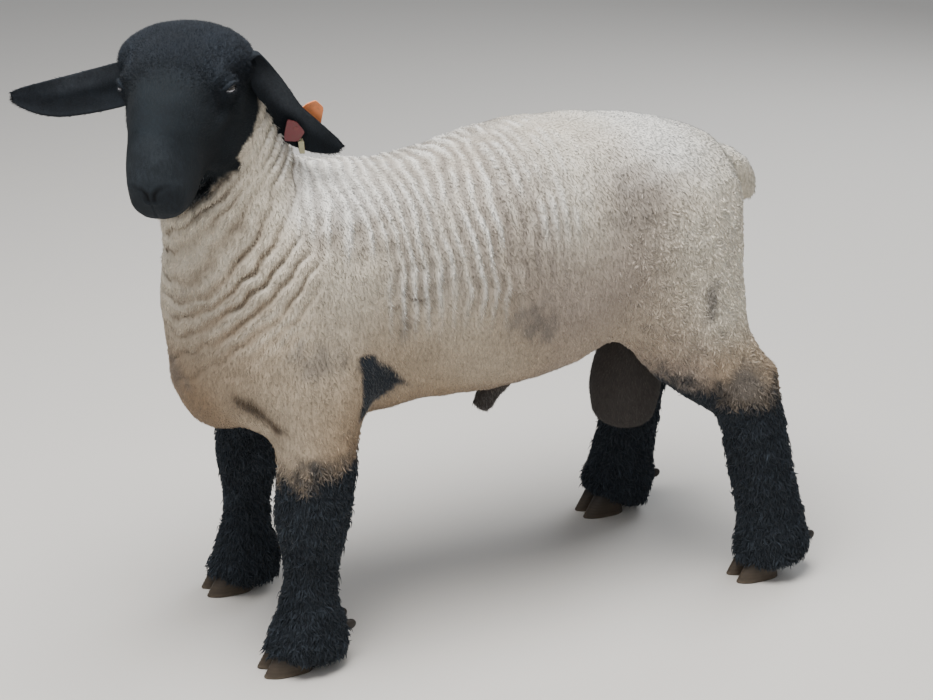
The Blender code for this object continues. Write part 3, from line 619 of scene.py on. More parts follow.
def black_share(points, zone):
    """1 where the lamb is black: the head, the throat, the shanks and the elbow pits; the pits' black is
    partly bare dark skin, partly painted shade.

    Each border is a line or a plane made ragged by noise; the shanks' lines slope with y.
    """
    place = to_head(points)
    from_face = np.linalg.norm(place + (0, 0.08, 0), axis=1)
    ragged = 0.006 * mottle(points, 0.030, 11) + 0.003 * mottle(points, 0.010, 12)
    edge = np.interp(place[:, 2], *np.array(JAW_LINE).T)
    head = ease((0.006 + edge - place[:, 1] + 0.6 * ragged) / 0.012) * (from_face < 0.17)
    throat = place[:, 2] + 0.073 + (0.046 - np.abs(place[:, 0])).clip(0, 0.040)
    throat = np.minimum(throat, -0.058 - place[:, 1])
    throat = ease((throat + 0.6 * ragged + 0.004) / 0.010)
    throat = throat * (place[:, 2] > -0.114) * (np.abs(place[:, 0]) < 0.06)
    x, y, z = points.T
    head = np.maximum(head, throat * (z > 0.5) * (from_face < 0.15))
    fore_line = np.where(x > 0, 0.321 + 0.3 * (y + 0.25).clip(-0.05, 0.06), 0.345)
    hind_line = np.where(x > 0, 0.354 - 0.35 * (y - 0.33).clip(-0.05, 0.05), 0.340)
    line = np.where(y < 0, fore_line, hind_line)
    shank = ease((line - z + 2.4 * ragged) / 0.056) * (z < 0.42)
    shank = shank * (zone["fore_lower"] + zone["hind_lower"] + upper_legs(zone)).clip(0, 1)
    # the elbow pit: bare dark skin, made darker as painted shade
    pit = np.minimum(y + 0.168, 0.69 * (0.440 - z - 1.04 * (y + 0.145)))
    pit = np.minimum(pit, 0.92 * (z - 0.382 - 0.43 * (y + 0.095)))
    pit = ease((pit + 0.7 * ragged + 0.002) / 0.007) * (z < 0.438) * (y < 0)
    return np.maximum(np.maximum(head, shank), pit)


def markings(points, normals, zone):
    """Linear base colour of each point: fleece, folds, dirt and painted light and shade first, then the black
    parts over them.
    """
    y, z = points[:, 1], points[:, 2]
    ridge, crease = wrinkles(points)
    broad, small = mottle(points, 0.20, 13), mottle(points, 0.035, 14)
    colour = mixed(CREAM, BEIGE, (0.30 + 0.70 * fall(z, 0.58, 0.24) + 0.24 * broad).clip(0, 1))
    rear = rise(y, -0.02, 0.16) * fall(z, 0.66, 0.05) * (1 - rise(y, 0.30, 0.10))
    colour = mixed(colour, MAUVE, (0.65 * rear * (0.7 + 0.5 * broad)).clip(0, 1))
    # painted light on the sunlit back: shoulder, rump and the top of the neck turn whiter where they face up;
    # the hindquarters are a lighter cream
    top = rise(normals[:, 2], 0.35, 0.5) * (z > 0.5)
    pale = bell(points, (0.05, -0.170, 0.640), (0.16, 0.075, 0.070))
    pale = pale + bell(points, (0.03, 0.300, 0.640), (0.13, 0.075, 0.060))
    pale = pale + 0.8 * bell(points, (0.02, -0.275, 0.700), (0.10, 0.060, 0.060))
    colour = mixed(colour, CREAM * 1.18, 0.85 * rise(y, 0.27, 0.09) * rise(z, 0.35, 0.08))
    # painted light: white where the surface faces up
    colour = mixed(colour, WHITE, (top * (0.25 + 0.9 * pale)).clip(0, 1))
    # painted shade in the valleys between the ridges, under the belly and in the folds of the neck; a browner
    # brisket; painted highlights on the crests between the folds and on the ridges
    # painted shade: the valleys between the ridges are darkened
    valley = (1 - stripes(fold_phase(points), RIDGE_SPACING, 0.0046)) * rise(y, -0.25, 0.05)
    valley = valley * (1 - rise(y, 0.07, 0.10)) * rise(z, 0.44, 0.10) * clear_of_elbow(y, z)
    colour = mixed(colour, MAUVE * 0.52, 0.70 * valley * (1 - 0.20 * pale.clip(0, 1)))
    # painted shade: brown under the belly
    belly = fall(z, 0.37, 0.06) * rise(y, -0.20, 0.03) * (1 - rise(y, 0.17, 0.05))
    colour = mixed(colour, BROWN, 0.80 * belly)
    colour = mixed(colour, BROWN, (0.45 + 0.3 * broad) * fall(y, -0.26, 0.08) * fall(z, 0.60, 0.12))
    # painted highlight on the crests between the neck's folds
    crest = stripes(collar_phase(points) + 0.01525, CREASE_SPACING, 0.0052)
    crest = crest * fall(y, -0.205, 0.05) * rise(z, 0.42, 0.08)
    colour = mixed(colour, CREAM * 1.16, 0.62 * crest * (0.8 + 0.4 * broad).clip(0, 1))
    # painted shade in the neck's creases, then painted highlight on the ridges
    colour = mixed(colour, BROWN * 0.50, 0.95 * crease)
    colour = mixed(colour, WHITE * 1.05, 0.95 * ridge)
    # dirt, painted shade in the folds of elbow and tail, and flecks behind the shoulder
    rubbed = 0.30 * small + 0.45 * mottle(points * (1, 1, 0.6), 0.018, 24) - 0.22
    for spot, reach, strength in SMUDGES:
        share = bell(points, spot, reach)
        patch = ease(share * 1.35 + rubbed) * ease(share * 7)
        colour = mixed(colour, GREY * 0.85, 0.85 * strength * patch)
    # painted shade along the fold between foreleg and brisket
    pit = path_gap(one_side(points), ARMPIT) + 0.003 * small
    colour = mixed(colour, BROWN * 0.30, 0.75 * hump(pit, 0.0075) + 0.20 * hump(pit, 0.020))
    # painted shade in the fold at the root of the tail
    colour = mixed(colour, BROWN * 0.45, 0.70 * bell(points, (0, 0.408, 0.612), (0.052, 0.010, 0.014)))
    flecks = ease((mottle(points, 0.011, 15) - 0.45) / 0.2) * sum(bell(points, *where) for where in FLECKS)
    colour = mixed(colour, srgb(70, 62, 58), (1.1 * flecks).clip(0, 0.85))
    colour = colour * (1 + 0.07 * small)[:, None]
    # the black, worn grey on the left hock, and bluish on poll, nose and shanks
    hock = bell(points, (0.170, 0.392, 0.318), (0.04, 0.034, 0.036))
    scuff = ease(hock * 1.6 + 0.3 * small - 0.3) * ease(hock * 9)
    black = black_share(points, zone) * (1 - 0.75 * scuff)
    colour = mixed(colour, GREY * 0.8, 0.8 * scuff)
    place = to_head(points)
    dark = mixed(BLACK, POLL, poll_share(place) * (z > 0.6))
    dark = mixed(dark, NOSE, fall(place[:, 1], -0.150, 0.03) * (z > 0.55))
    dark = mixed(dark, SHANK, fall(z, 0.50, 0.05))
    colour = colour * (1 - black)[:, None] + dark * black[:, None] * (1 + 0.12 * small)[:, None]
    # painted shade: the nostril slits near black
    colour = mixed(colour, srgb(10, 9, 10), 0.9 * hump(nostril_gap(place), 0.0030) * (z > 0.5))
    colour = mixed(colour, SOOT, (zone["scrotum"] * 1.2).clip(0, 1))
    colour = mixed(colour, SOOT, (1.3 * zone["sheath"] * fall(z, 0.318, 0.02)).clip(0, 1))
    return colour.clip(*HUE_RANGE)


def mesh_of(name, points, tris, hues):
    """A smooth mesh from whole arrays of points and triangles, with a painted colour at each point."""
    mesh = bpy.data.meshes.new(name)
    mesh.vertices.add(len(points))
    mesh.vertices.foreach_set("co", np.ascontiguousarray(points, np.float32).ravel())
    mesh.loops.add(len(tris) * 3)
    mesh.loops.foreach_set("vertex_index", np.ascontiguousarray(tris, np.int32).ravel())
    mesh.polygons.add(len(tris))
    mesh.polygons.foreach_set("loop_start", np.arange(0, len(tris) * 3, 3, dtype=np.int32))
    mesh.update(calc_edges=True)
    mesh.shade_smooth()
    layer = mesh.color_attributes.new("hue", "FLOAT_COLOR", "POINT")
    layer.data.foreach_set("color", np.column_stack([hues, np.ones(len(hues))]).astype(np.float32).ravel())
    return mesh


def normals_of(points, tris):
    """Area-weighted vertex normals."""
    a, b, c = (points[tris[:, k]] for k in range(3))
    face = np.cross(b - a, c - a)
    total = [sum(np.bincount(tris[:, k], column, len(points)) for k in range(3)) for column in face.T]
    return unit(np.stack(total, axis=1))


def gathered(parts):
    """Several (points, triangles, hues) as one."""
    points, tris, hues = zip(*parts)
    starts = np.cumsum([0] + [len(part) for part in points[:-1]])
    tris = np.concatenate([part + start for part, start in zip(tris, starts)])
    return np.concatenate(points), tris, np.concatenate(hues)


def ear_hue(points, spots, side):
    """Dark grey, with a painted sheen along the upper edge of the cup and painted shade in its lower half."""
    along, across, face = spots.T
    # painted sheen along the upper edge of the cup
    upper = (face > 0) * ease((across * side + 0.05) / 0.55) * rise(along, -0.05, 0.25)
    upper = upper * (1 - 0.8 * rise(along, 0.45, 0.4))
    # painted shade in the cup's lower half
    lower = (face > 0) * (1 - ease((across * side + 0.35) / 0.6)) * rise(along, 0.15, 0.3)
    shade = 1 + 0.10 * mottle(points, 0.02, 17) - 0.35 * lower
    return mixed(EAR, srgb(66, 71, 78), 0.8 * upper) * shade[:, None]


def new_group(name, **tints):
    """A shader node group that takes colours and puts out a colour, a height and a roughness."""
    tree = bpy.data.node_groups.new(name, "ShaderNodeTree")
    for label, tint in tints.items():
        socket = tree.interface.new_socket(label, in_out="INPUT", socket_type="NodeSocketColor")
        socket.default_value = (*tint, 1)
    for label, kind in (("Color", "Color"), ("Height", "Float"), ("Roughness", "Float")):
        tree.interface.new_socket(label, in_out="OUTPUT", socket_type="NodeSocket" + kind)
    return tree, tree.nodes.new("NodeGroupInput").outputs, tree.nodes.new("NodeGroupOutput").inputs


def node(tree, kind, **settings):
    """A new node with its sockets and properties set by name."""
    made = tree.nodes.new(kind)
    for key, value in settings.items():
        if key in made.inputs.keys():
            made.inputs[key].default_value = value
        else:
            setattr(made, key, value)
    return made


def noise_of(tree, scale, detail=3.0, rough=0.6, stretch=None):
    """Noise over the object's own coordinates, stretched along an axis where asked."""
    where = node(tree, "ShaderNodeTexCoord").outputs["Object"]
    made = node(tree, "ShaderNodeTexNoise", Scale=scale, Detail=detail, Roughness=rough)
    if stretch is not None:
        squeeze = node(tree, "ShaderNodeMapping", Scale=stretch)
        tree.links.new(where, squeeze.inputs["Vector"])
        where = squeeze.outputs["Vector"]
    tree.links.new(where, made.inputs["Vector"])
    return made.outputs["Fac"]


def ranged(tree, value, low, high, start=0.0, end=1.0):
    """The value's range from start to end moved to the one from low to high, and kept inside it."""
    limits = {"From Min": start, "From Max": end, "To Min": low, "To Max": high}
    made = node(tree, "ShaderNodeMapRange", **limits)
    tree.links.new(value, made.inputs["Value"])
    return made.outputs["Result"]


def scaled(tree, colour, factor):
    """The colour times a number."""
    made = node(tree, "ShaderNodeVectorMath", operation="SCALE")
    tree.links.new(colour, made.inputs[0])
    tree.links.new(factor, made.inputs["Scale"])
    return made.outputs["Vector"]


def put_out(tree, end, colour, height, roughness):
    """Link what a group puts out."""
    for label, value in (("Color", colour), ("Height", height), ("Roughness", roughness)):
        tree.links.new(value, end[label])


def hide_group():
    """Hide under short hair: the painted colour broken by fine noise, and a stubbly height."""
    tree, start, end = new_group("hide", Hue=(0.5, 0.5, 0.5))
    coarse = noise_of(tree, 190.0, 4.0, 0.65, (1.6, 1.6, 0.5))
    fine = noise_of(tree, 900.0, 2.0, 0.6, (1.5, 1.5, 0.5))
    total = node(tree, "ShaderNodeMath", operation="MULTIPLY_ADD")
    tree.links.new(fine, total.inputs[0])
    total.inputs[1].default_value = 0.5
    tree.links.new(coarse, total.inputs[2])
    stubble = total.outputs[0]
    tint = scaled(tree, start["Hue"], ranged(tree, stubble, 0.62, 1.30, 0.45, 1.05))
    put_out(tree, end, tint, stubble, ranged(tree, coarse, 0.78, 0.95))
    return tree


def finish_of(name, group, bump, distance, tint=None, **fixed):
    """A Principled surface whose colour, roughness and bump come from a group.

    The group is fed by the painted colours, or by one tint where there are none; `fixed` sets the
    surface's own sockets, written with _ for a space.
    """
    made = bpy.data.materials.new(name)
    made.use_nodes = True
    tree = made.node_tree
    surface = tree.nodes["Principled BSDF"].inputs
    effect = node(tree, "ShaderNodeGroup", node_tree=group)
    if tint is None:
        painted = node(tree, "ShaderNodeAttribute", attribute_name="hue")
        tree.links.new(painted.outputs["Color"], effect.inputs["Hue"])
    else:
        effect.inputs["Hue"].default_value = (*tint, 1)
    relief = node(tree, "ShaderNodeBump", Strength=bump, Distance=distance)
    tree.links.new(effect.outputs["Height"], relief.inputs["Height"])
    tree.links.new(effect.outputs["Color"], surface["Base Color"])
    tree.links.new(effect.outputs["Roughness"], surface["Roughness"])
    tree.links.new(relief.outputs["Normal"], surface["Normal"])
    for socket, value in fixed.items():
        surface[socket.replace("_", " ")].default_value = value
    return made


def add_painted(name, part, finish):
    """A new object from (points, triangles, hues) and a material."""
    mesh = mesh_of(name, *part)
    mesh.materials.append(finish)
    return add_object(name, mesh)


hide_nodes = hide_group()
hide_finish = finish_of("hide", hide_nodes, 0.6, 0.0012, Specular_IOR_Level=0.18)
skin_normals = normals_of(skin_points, skin_tris)
skin_hue = markings(skin_points, skin_normals, zone)
# off the head the hide is a fifth darker: painted shade between the locks of the coat
parts = [(skin_points, skin_tris, skin_hue * (1 - 0.20 * (1 - zone["head"]))[:, None])]
ear_hues = {}
for side, (ear_points, ear_tris, ear_spots) in ears.items():
    ear_hues[side] = ear_hue(ear_points, ear_spots, side)
    parts.append((ear_points, ear_tris, ear_hues[side]))
skin = add_painted("skin", gathered(parts), hide_finish)
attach(skin, "root")
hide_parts(*FLESH, "ear_left", "ear_right")


# ---------------------------------------------------------------- the eyes
# Brown eyes with the level, slot-shaped pupil of a sheep under a clear bulging cornea, half shut
# against the light. Moist black rims line the lids; a pale tube on the lower lid is a painted reflection.


def eyeball(side, rows=56, around=72):
    """A sphere of radius R (1 + 0.055 exp(-(t / 0.40)^2)), t the angle from the line of sight."""
    axes = eye_axes(side)
    look = unit(axes[:, 2] + 0.26 * axes[:, 1])
    level = unit(axes[:, 0] - look * (axes[:, 0] @ look))
    raised = np.cross(look, level)
    t = np.linspace(0, math.pi, rows + 2)[1:-1]
    tt, aa = np.meshgrid(t, full_turn(around), indexing="ij")
    tt, aa = tt.ravel(), aa.ravel()
    aside = np.cos(aa)[:, None] * level + np.sin(aa)[:, None] * raised
    ways = np.cos(tt)[:, None] * look + np.sin(tt)[:, None] * aside
    ways = np.concatenate([ways, [look, -look]])
    tt, aa = np.append(tt, (0, math.pi)), np.append(aa, (0, 0))
    reach = BALL * (1 + 0.055 * np.exp(-((tt / 0.40) ** 2)))
    points = from_head(EYE_SPOT * (side, 1, 1) + ways * reach[:, None])
    along, up = ways @ level, ways @ raised
    slot = ((along / 0.30) ** 4 + (up / 0.115) ** 4) ** 0.25
    streak = 0.5 + 0.5 * np.sin(aa * 23 + 3 * np.sin(aa * 7)) * np.sin(aa * 41 + 1)
    iris = mixed(srgb(14, 10, 8), srgb(34, 23, 14), streak * fall(tt, 0.55, 0.3))
    hue = mixed(iris, srgb(18, 12, 9), rise(tt, 0.46, 0.06))
    white = mixed(srgb(96, 74, 62), srgb(214, 208, 204), rise(tt, 0.60, 0.10))
    hue = mixed(hue, white, rise(tt, 0.56, 0.05))
    hue = mixed(hue, srgb(4, 4, 5), 1 - rise(slot, 0.92, 0.16))
    return points, outward(points, closed_grid(rows, around)), hue


def rim_tube(side, upper, radius, sink, hue, end=math.pi - 0.02, rows=64, around=10):
    """A thin tube along one lid's edge, lying on the ball: its middle at R + sink from the centre.

    Along the slit it runs over a = -LID_HALF cos(t), from t = 0.02 to `end`.
    """
    axes, centre = eye_axes(side), EYE_SPOT * (side, 1, 1)
    a = -LID_HALF * np.cos(np.linspace(0.02, end, rows))
    b = lid_edges(a)[0 if upper else 1]
    c = np.sqrt(((BALL + sink) ** 2 - a**2 - b**2).clip(0))
    middle = np.stack([a, b, c], axis=1)
    run = unit(np.gradient(middle, axis=0))
    out = unit(middle)
    across = unit(np.cross(run, out))
    turn = full_turn(around)[:, None]
    taper = radius * (0.45 + 0.55 * np.sin(np.linspace(0, math.pi, rows)) ** 0.5)
    ring = out[:, None] * np.cos(turn) + across[:, None] * np.sin(turn) * 1.25
    points = (middle[:, None] + ring * taper[:, None, None]).reshape(-1, 3)
    points = np.concatenate([points, middle[:1], middle[-1:]])
    points = from_head(points @ axes.T + centre)
    return points, outward(points, closed_grid(rows, around)), np.tile(hue, (len(points), 1))


def moist_group():
    """A wet surface: the painted colour, with faint veins in its height."""
    tree, start, end = new_group("moist", Hue=(0.1, 0.1, 0.1))
    grain = noise_of(tree, 700.0, 3.0)
    put_out(tree, end, start["Hue"], grain, ranged(tree, grain, 0.06, 0.22))
    return tree


moist_nodes = moist_group()
eye_finish = finish_of("eye", moist_nodes, 0.03, 0.0002, Coat_Weight=1.0, Coat_Roughness=0.03, IOR=1.38)
rim_finish = finish_of("lid_rim", moist_nodes, 0.25, 0.0004, Coat_Weight=0.15, Coat_Roughness=0.25)
for side, word in ((1, "left"), (-1, "right")):
    ball_piece = add_painted("eyeball_" + word, eyeball(side), eye_finish)
    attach(ball_piece, "root")
    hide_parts("eye_" + word)
    rims = [
        rim_tube(side, True, 0.00120, 0.0008, srgb(18, 17, 18)),
        rim_tube(side, False, 0.00110, 0.0006, srgb(26, 24, 25)),
        rim_tube(side, False, 0.00155, 0.0001, srgb(176, 174, 178), end=2.05),  # a painted reflection on the wet lower lid
    ]
    rim_piece = add_painted("lid_rims_" + word, gathered(rims), rim_finish)
    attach(rim_piece, "root")


# ---------------------------------------------------------------- the hoofs
# Two horn claws to a foot and two dewclaws behind, dark grey-brown, ringed by their growth and dusty
# where they meet the ground; they grow out of the wool of the shanks.

GROWTH = 0.0046  # from one ring of growth to the next
TOE, HEEL = 0.038, 0.034  # how far a claw 72 mm long reaches before and behind its middle


def horn_group():
    """Horn: the painted colour with fibres running down it, duller where they are raised."""
    tree, start, end = new_group("horn", Hue=(0.1, 0.08, 0.06))
    fibres = noise_of(tree, 420.0, 3.0, 0.6, (1.0, 1.0, 0.12))
    tint = scaled(tree, start["Hue"], ranged(tree, fibres, 0.70, 1.30))
    put_out(tree, end, tint, fibres, ranged(tree, fibres, 0.42, 0.72))
    return tree


def claw_horn(box, inner, around=36):
    """One claw in its box. At height h its plan is x = W |sin a|^0.75, y = -L(h) |cos a|^0.75, signed,
    with L = TOE - 0.62 h in front and HEEL - 0.26 h behind; W is less at the toe, and the side to
    the cleft is flat. Rings of growth ripple the wall by 2 in 100.
    """
    (x0, y0, _), (x1, y1, top) = box
    wall = np.linspace(0.004, top - 0.004, 26)
    height = np.concatenate([[0.0012, 0.0004, 0.0, 0.0015], wall, [top - 0.001]])
    shrink = np.concatenate([[0.45, 0.78, 0.93, 1.0], np.ones(len(wall)), [0.80]])
    hh, aa = np.meshgrid(height, full_turn(around), indexing="ij")
    front, back = TOE - 0.62 * hh, HEEL - 0.26 * hh
    scale = (y1 - y0) / (TOE + HEEL)
    toe = np.cos(aa).clip(0)
    x = (x1 - x0) / 2 * np.sign(np.sin(aa)) * np.abs(np.sin(aa)) ** 0.75 * (1 - 0.42 * toe**2.5)
    x = np.where(x * inner > 0, x * 0.93, x) * (1 - 0.18 * (hh / top) ** 2)
    y = -np.sign(np.cos(aa)) * np.abs(np.cos(aa)) ** 0.75 * np.where(np.cos(aa) > 0, front, back) * scale
    ripple = 1 - 0.010 * (1 - np.cos(2 * math.pi * (hh - 0.10 * np.abs(y)) / GROWTH))
    x, y = x * shrink[:, None] * ripple, y * shrink[:, None] * ripple
    middle = y0 + TOE * scale
    points = np.stack([(x0 + x1) / 2 + x, middle + y, hh], axis=-1).reshape(-1, 3)
    ends = [((x0 + x1) / 2, middle, 0.0016), ((x0 + x1) / 2, middle, top)]
    return np.concatenate([points, ends]), closed_grid(len(height), around)


def dewclaw_horn(box, rows=10, around=18):
    """A blunt nub in its box: x, y = (box / 2) sin(t)^0.8 round the middle, z = -cos(t) x box / 2."""
    low, high = np.array(box)
    t = np.linspace(0, math.pi, rows + 2)[1:-1]
    tt, aa = np.meshgrid(t, full_turn(around), indexing="ij")
    wide = np.sin(tt) ** 0.8
    ball = np.stack([wide * np.cos(aa), wide * np.sin(aa), -np.cos(tt)], axis=-1).reshape(-1, 3)
    ball = np.concatenate([ball, [(0, 0, -1), (0, 0, 1)]]) * (high - low) / 2 * 0.97
    return ball + (low + high) / 2, closed_grid(rows, around)


def horn_hue(points):
    """Grey-brown, darker above, with dust where it meets the ground and a ripple for each ring."""
    height = points[:, 2]
    hue = mixed(srgb(64, 55, 45), srgb(40, 35, 31), rise(height, 0.010, 0.025))
    dust = fall(height, 0.007, 0.006) * (0.5 + 0.5 * mottle(points, 0.006, 18)).clip(0, 1)
    hue = mixed(hue, srgb(108, 97, 82), 0.7 * dust)
    hue = hue * (1 + 0.10 * np.sin(2 * math.pi * height / GROWTH))[:, None]
    return hue.clip(*HUE_RANGE)


horn_finish = finish_of("horn", horn_group(), 0.35, 0.0004, Specular_IOR_Level=0.35)
for leg in LEGS:
    claws = [np.array(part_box(f"claw_{leg}_{k}")) for k in "ab"]
    dewclaws = [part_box(f"dewclaw_{leg}_{k}") for k in "ab"]
    cleft = np.mean(claws, axis=(0, 1))[0]
    made = [claw_horn(box, np.sign(cleft - box[:, 0].mean())) for box in claws]
    made += [dewclaw_horn(box) for box in dewclaws]
    horns = [(points, outward(points, tris), horn_hue(points)) for points, tris in made]
    hoofs = add_painted("hoofs_" + leg, gathered(horns), horn_finish)
    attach(hoofs, "root")
    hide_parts(*[f"{kind}_{leg}_{k}" for kind in ("claw", "dewclaw") for k in "ab"])


# ---------------------------------------------------------------- the ear tags
# Blank flexible plastic tags through the left ear, faded and a little soiled, and a small clip on
# its lower edge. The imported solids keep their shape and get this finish.


def plastic_group():
    """Faded plastic: a tint soiled in patches, duller there, with fine scratches in its height."""
    tree, start, end = new_group("worn_plastic", Hue=(0.5, 0.3, 0.2), Soil=(0.10, 0.08, 0.06))
    patches = noise_of(tree, 160.0, 4.0, 0.65)
    blend = node(tree, "ShaderNodeMix", data_type="RGBA")
    clean, soiled, mixture = blend.inputs[6], blend.inputs[7], blend.outputs[2]
    tree.links.new(ranged(tree, patches, 0.0, 0.45, 0.48, 0.78), blend.inputs["Factor"])
    tree.links.new(start["Hue"], clean)
    tree.links.new(start["Soil"], soiled)
    scratches = noise_of(tree, 1500.0, 2.0, 0.6, (1.0, 0.15, 1.0))
    put_out(tree, end, mixture, scratches, ranged(tree, patches, 0.38, 0.70))
    return tree


plastic_nodes = plastic_group()
for name, tint in (
    ("tag_outer", srgb(226, 136, 82)), ("tag_inner", srgb(112, 50, 55)),
    ("tag_pin", srgb(120, 56, 58)), ("tag_clip", srgb(170, 166, 134)),
):
    plastic = finish_of(
        name + "_plastic", plastic_nodes, 0.15, 0.0002, tint, Subsurface_Weight=0.1, Subsurface_Scale=0.002
    )
    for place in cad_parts[name].material_slots:
        place.material = plastic


# ---------------------------------------------------------------- the coat
# Fleece a few millimetres long after shearing, matted into short crimped locks that hang down the
# sides; thick black wool on the shanks and poll, and hair lying flat on face, ears and scrotum.

LOCKS = {  # how many locks a piece has, and how long and wide a middling one is
    "fleece": (150000, 0.0078, 0.0021),
    "thighs": (9500, 0.0092, 0.0034),
    "shanks": (36000, 0.0118, 0.0028),
    "face": (34000, 0.0046, 0.0011),
    "poll": (46000, 0.0064, 0.0013),
    "ear": (8500, 0.0044, 0.0011),
    "scrotum": (7000, 0.0070, 0.0013),
}


def scattered(share, count, seed, surface=(skin_points, skin_normals, skin_tris)):
    """Random roots on a surface, `count` in all, as dense as the share given for its vertices.

    Gives the roots, their normals and a function that reads any value of the vertices at them.
    """
    points, normals, tris = surface
    rng = np.random.default_rng(seed)
    a, b, c = (points[tris[:, k]] for k in range(3))
    area = np.linalg.norm(np.cross(b - a, c - a), axis=1) * share[tris].mean(axis=1)
    edges = np.cumsum(area)
    picks = (np.arange(count) + rng.uniform(size=count)) / count * edges[-1]
    picked = tris[np.searchsorted(edges, picks).clip(0, len(tris) - 1)]
    r1, r2 = np.sqrt(rng.uniform(size=count)), rng.uniform(size=count)
    weights = np.stack([1 - r1, r1 * (1 - r2), r1 * r2], axis=1)

    def take(values, even=False):
        """Mixed by the root's place in its triangle, or the plain mean of the triangle's corners."""
        if even:
            return values[picked].mean(axis=1)
        spread = weights.reshape(weights.shape + (1,) * (values.ndim - 1))
        return (values[picked] * spread).sum(axis=1)

    return take(points), unit(take(normals)), take


def varied(hue, rng, spread, lightest=1.6):
    """Each root's hue made lighter or darker at random."""
    return hue * (1 + spread * rng.normal(size=len(hue))).clip(0.5, lightest)[:, None]


def level(way, normal):
    """The ways laid flat on the surface, one long."""
    return unit(way - normal * (way * normal).sum(axis=1, keepdims=True))


def turned(way, normal, angle):
    """The ways turned about the normal: way cos(angle) + (normal x way) sin(angle)."""
    return way * np.cos(angle)[:, None] + np.cross(normal, way) * np.sin(angle)[:, None]


def jitter(way, normal, spread, seed):
    """Ways turned about the normal by a random angle of the given spread, radians."""
    angle = np.random.default_rng(seed).normal(size=len(way)) * spread
    return turned(level(way, normal), normal, angle)


def tufts(root, normal, way, length, width, lift, crimp, base_hue, tip_hue, chart, seed, rings):
    """Closed three-sided locks, each with its base just under the skin.

    With t from 0 to 1 along a lock, its middle runs root + way L t + normal L lift (t - 0.6 t^2)
    - normal 0.0012 (1 - t) + side L crimp sin(6 t + phase) t, and its half width is
    W / 2 (1 - t^2)^0.6. Gives points, triangles, hues and places on the chart.
    """
    count = len(root)
    way = level(way, normal)
    side = np.cross(normal, way)
    t = np.linspace(0, 1, rings + 1)[None, :, None]
    size = length[:, None, None]
    phase = np.random.default_rng(seed).uniform(0, 6.3, (count, 1, 1))
    middle = root[:, None] + way[:, None] * size * t
    middle = middle + normal[:, None] * size * lift[:, None, None] * (t - 0.6 * t * t)
    middle = middle - normal[:, None] * (0.0012 * (1 - t))
    middle = middle + side[:, None] * size * crimp[:, None, None] * np.sin(6 * t + phase) * t
    turn = np.array([math.pi / 2, math.pi * 7 / 6, math.pi * 11 / 6])[:, None]
    half = (width / 2)[:, None, None] * (1 - t[:, :rings] ** 2) ** 0.6
    ring = side[:, None, None] * np.cos(turn) + 0.62 * normal[:, None, None] * np.sin(turn)
    body = middle[:, :rings, None] + ring * half[..., None]
    points = np.concatenate([body.reshape(count, -1, 3), middle[:, rings:]], axis=1)
    faces = [(0, 2, 1)]
    for k in range(rings - 1):
        for j in range(3):
            low, high = 3 * k + j, 3 * k + (j + 1) % 3
            faces += [(low, high, high + 3), (low, high + 3, low + 3)]
    tip = 3 * rings
    faces += [(tip - 3 + j, tip - 3 + (j + 1) % 3, tip) for j in range(3)]
    tris = (np.arange(count)[:, None, None] * (tip + 1) + np.array(faces)).reshape(-1, 3)
    fade = np.append(np.repeat(np.arange(rings) / rings, 3), 1.0)[:, None]
    hues = base_hue[:, None] * (1 - fade) + tip_hue[:, None] * fade
    spread = np.column_stack([np.append(np.tile((0.0, 0.5, 1.0), rings), 0.5), fade]) * 0.003
    return points.reshape(-1, 3), tris, hues.reshape(-1, 3), (chart[:, None] + spread).reshape(-1, 2)


def chart_of(points, axis):
    """Unwrap round an axis: the angle about it and the place along it, both from 0 to 1."""
    low, high = points.min(axis=0), points.max(axis=0)
    off = np.delete(points - (low + high) / 2, axis, axis=1)
    angle = np.arctan2(off[:, 0], off[:, 1]) / (2 * math.pi) + 0.5
    along = (points[:, axis] - low[axis]) / (high[axis] - low[axis])
    return np.stack([angle, along], axis=1) * 0.99


def add_coat(name, locks, tones, chart, seed, rings, finish):
    """One piece of coat from root, normal, way, length, width, lift, crimp and hue of its locks.

    The tones scale the hue at the base and at the tip; the chart gives the piece its OFBake map.
    """
    *shape, hue = locks
    points, tris, hues, charted = tufts(*shape, hue * tones[0], hue * tones[1], chart, seed, rings)
    piece = add_painted(name, (points, tris, hues.clip(*HUE_RANGE)), finish)
    layer = piece.data.uv_layers.new(name="OFBake")
    layer.uv.foreach_set("vector", charted[tris.ravel()].astype(np.float32).ravel())
    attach(piece, "root")


def lie_of_coat(points, normals):
    """The way the wool lies: off the spine, down the sides, along the folds of the neck, and back."""
    x, y, z = points.T
    spine = np.sign(x) * ease(np.abs(x) / 0.03) * normals[:, 2].clip(0, 1)
    forward = 0.75 * fall(y, -0.20, 0.10) * rise(z, 0.38, 0.10)
    way = np.stack([0.9 * spine, 0.28 - forward, -np.ones(len(points))], axis=1)
    return way + rise(y, 0.22, 0.08)[:, None] * np.array((0, 0.25, 0))


wool_finish = finish_of(
    "wool", hide_nodes, 0.25, 0.0006, Specular_IOR_Level=0.2, Sheen_Weight=0.12, Sheen_Roughness=0.7
)
dark_finish = finish_of("black_wool", hide_nodes, 0.25, 0.0006, Specular_IOR_Level=0.22, Sheen_Weight=0.015)
hair_finish = finish_of("hair", hide_nodes, 0.20, 0.0004, Specular_IOR_Level=0.26, Sheen_Weight=0.015)
black_at = black_share(skin_points, zone)
black_leg_at = black_at * upper_legs(zone).clip(0, 1)
shank_at = (zone["fore_lower"] + zone["hind_lower"]).clip(0, 1)
woolly = (1 - zone["head"] - shank_at - zone["scrotum"]).clip(0, 1) * (1 - 0.8 * black_leg_at)

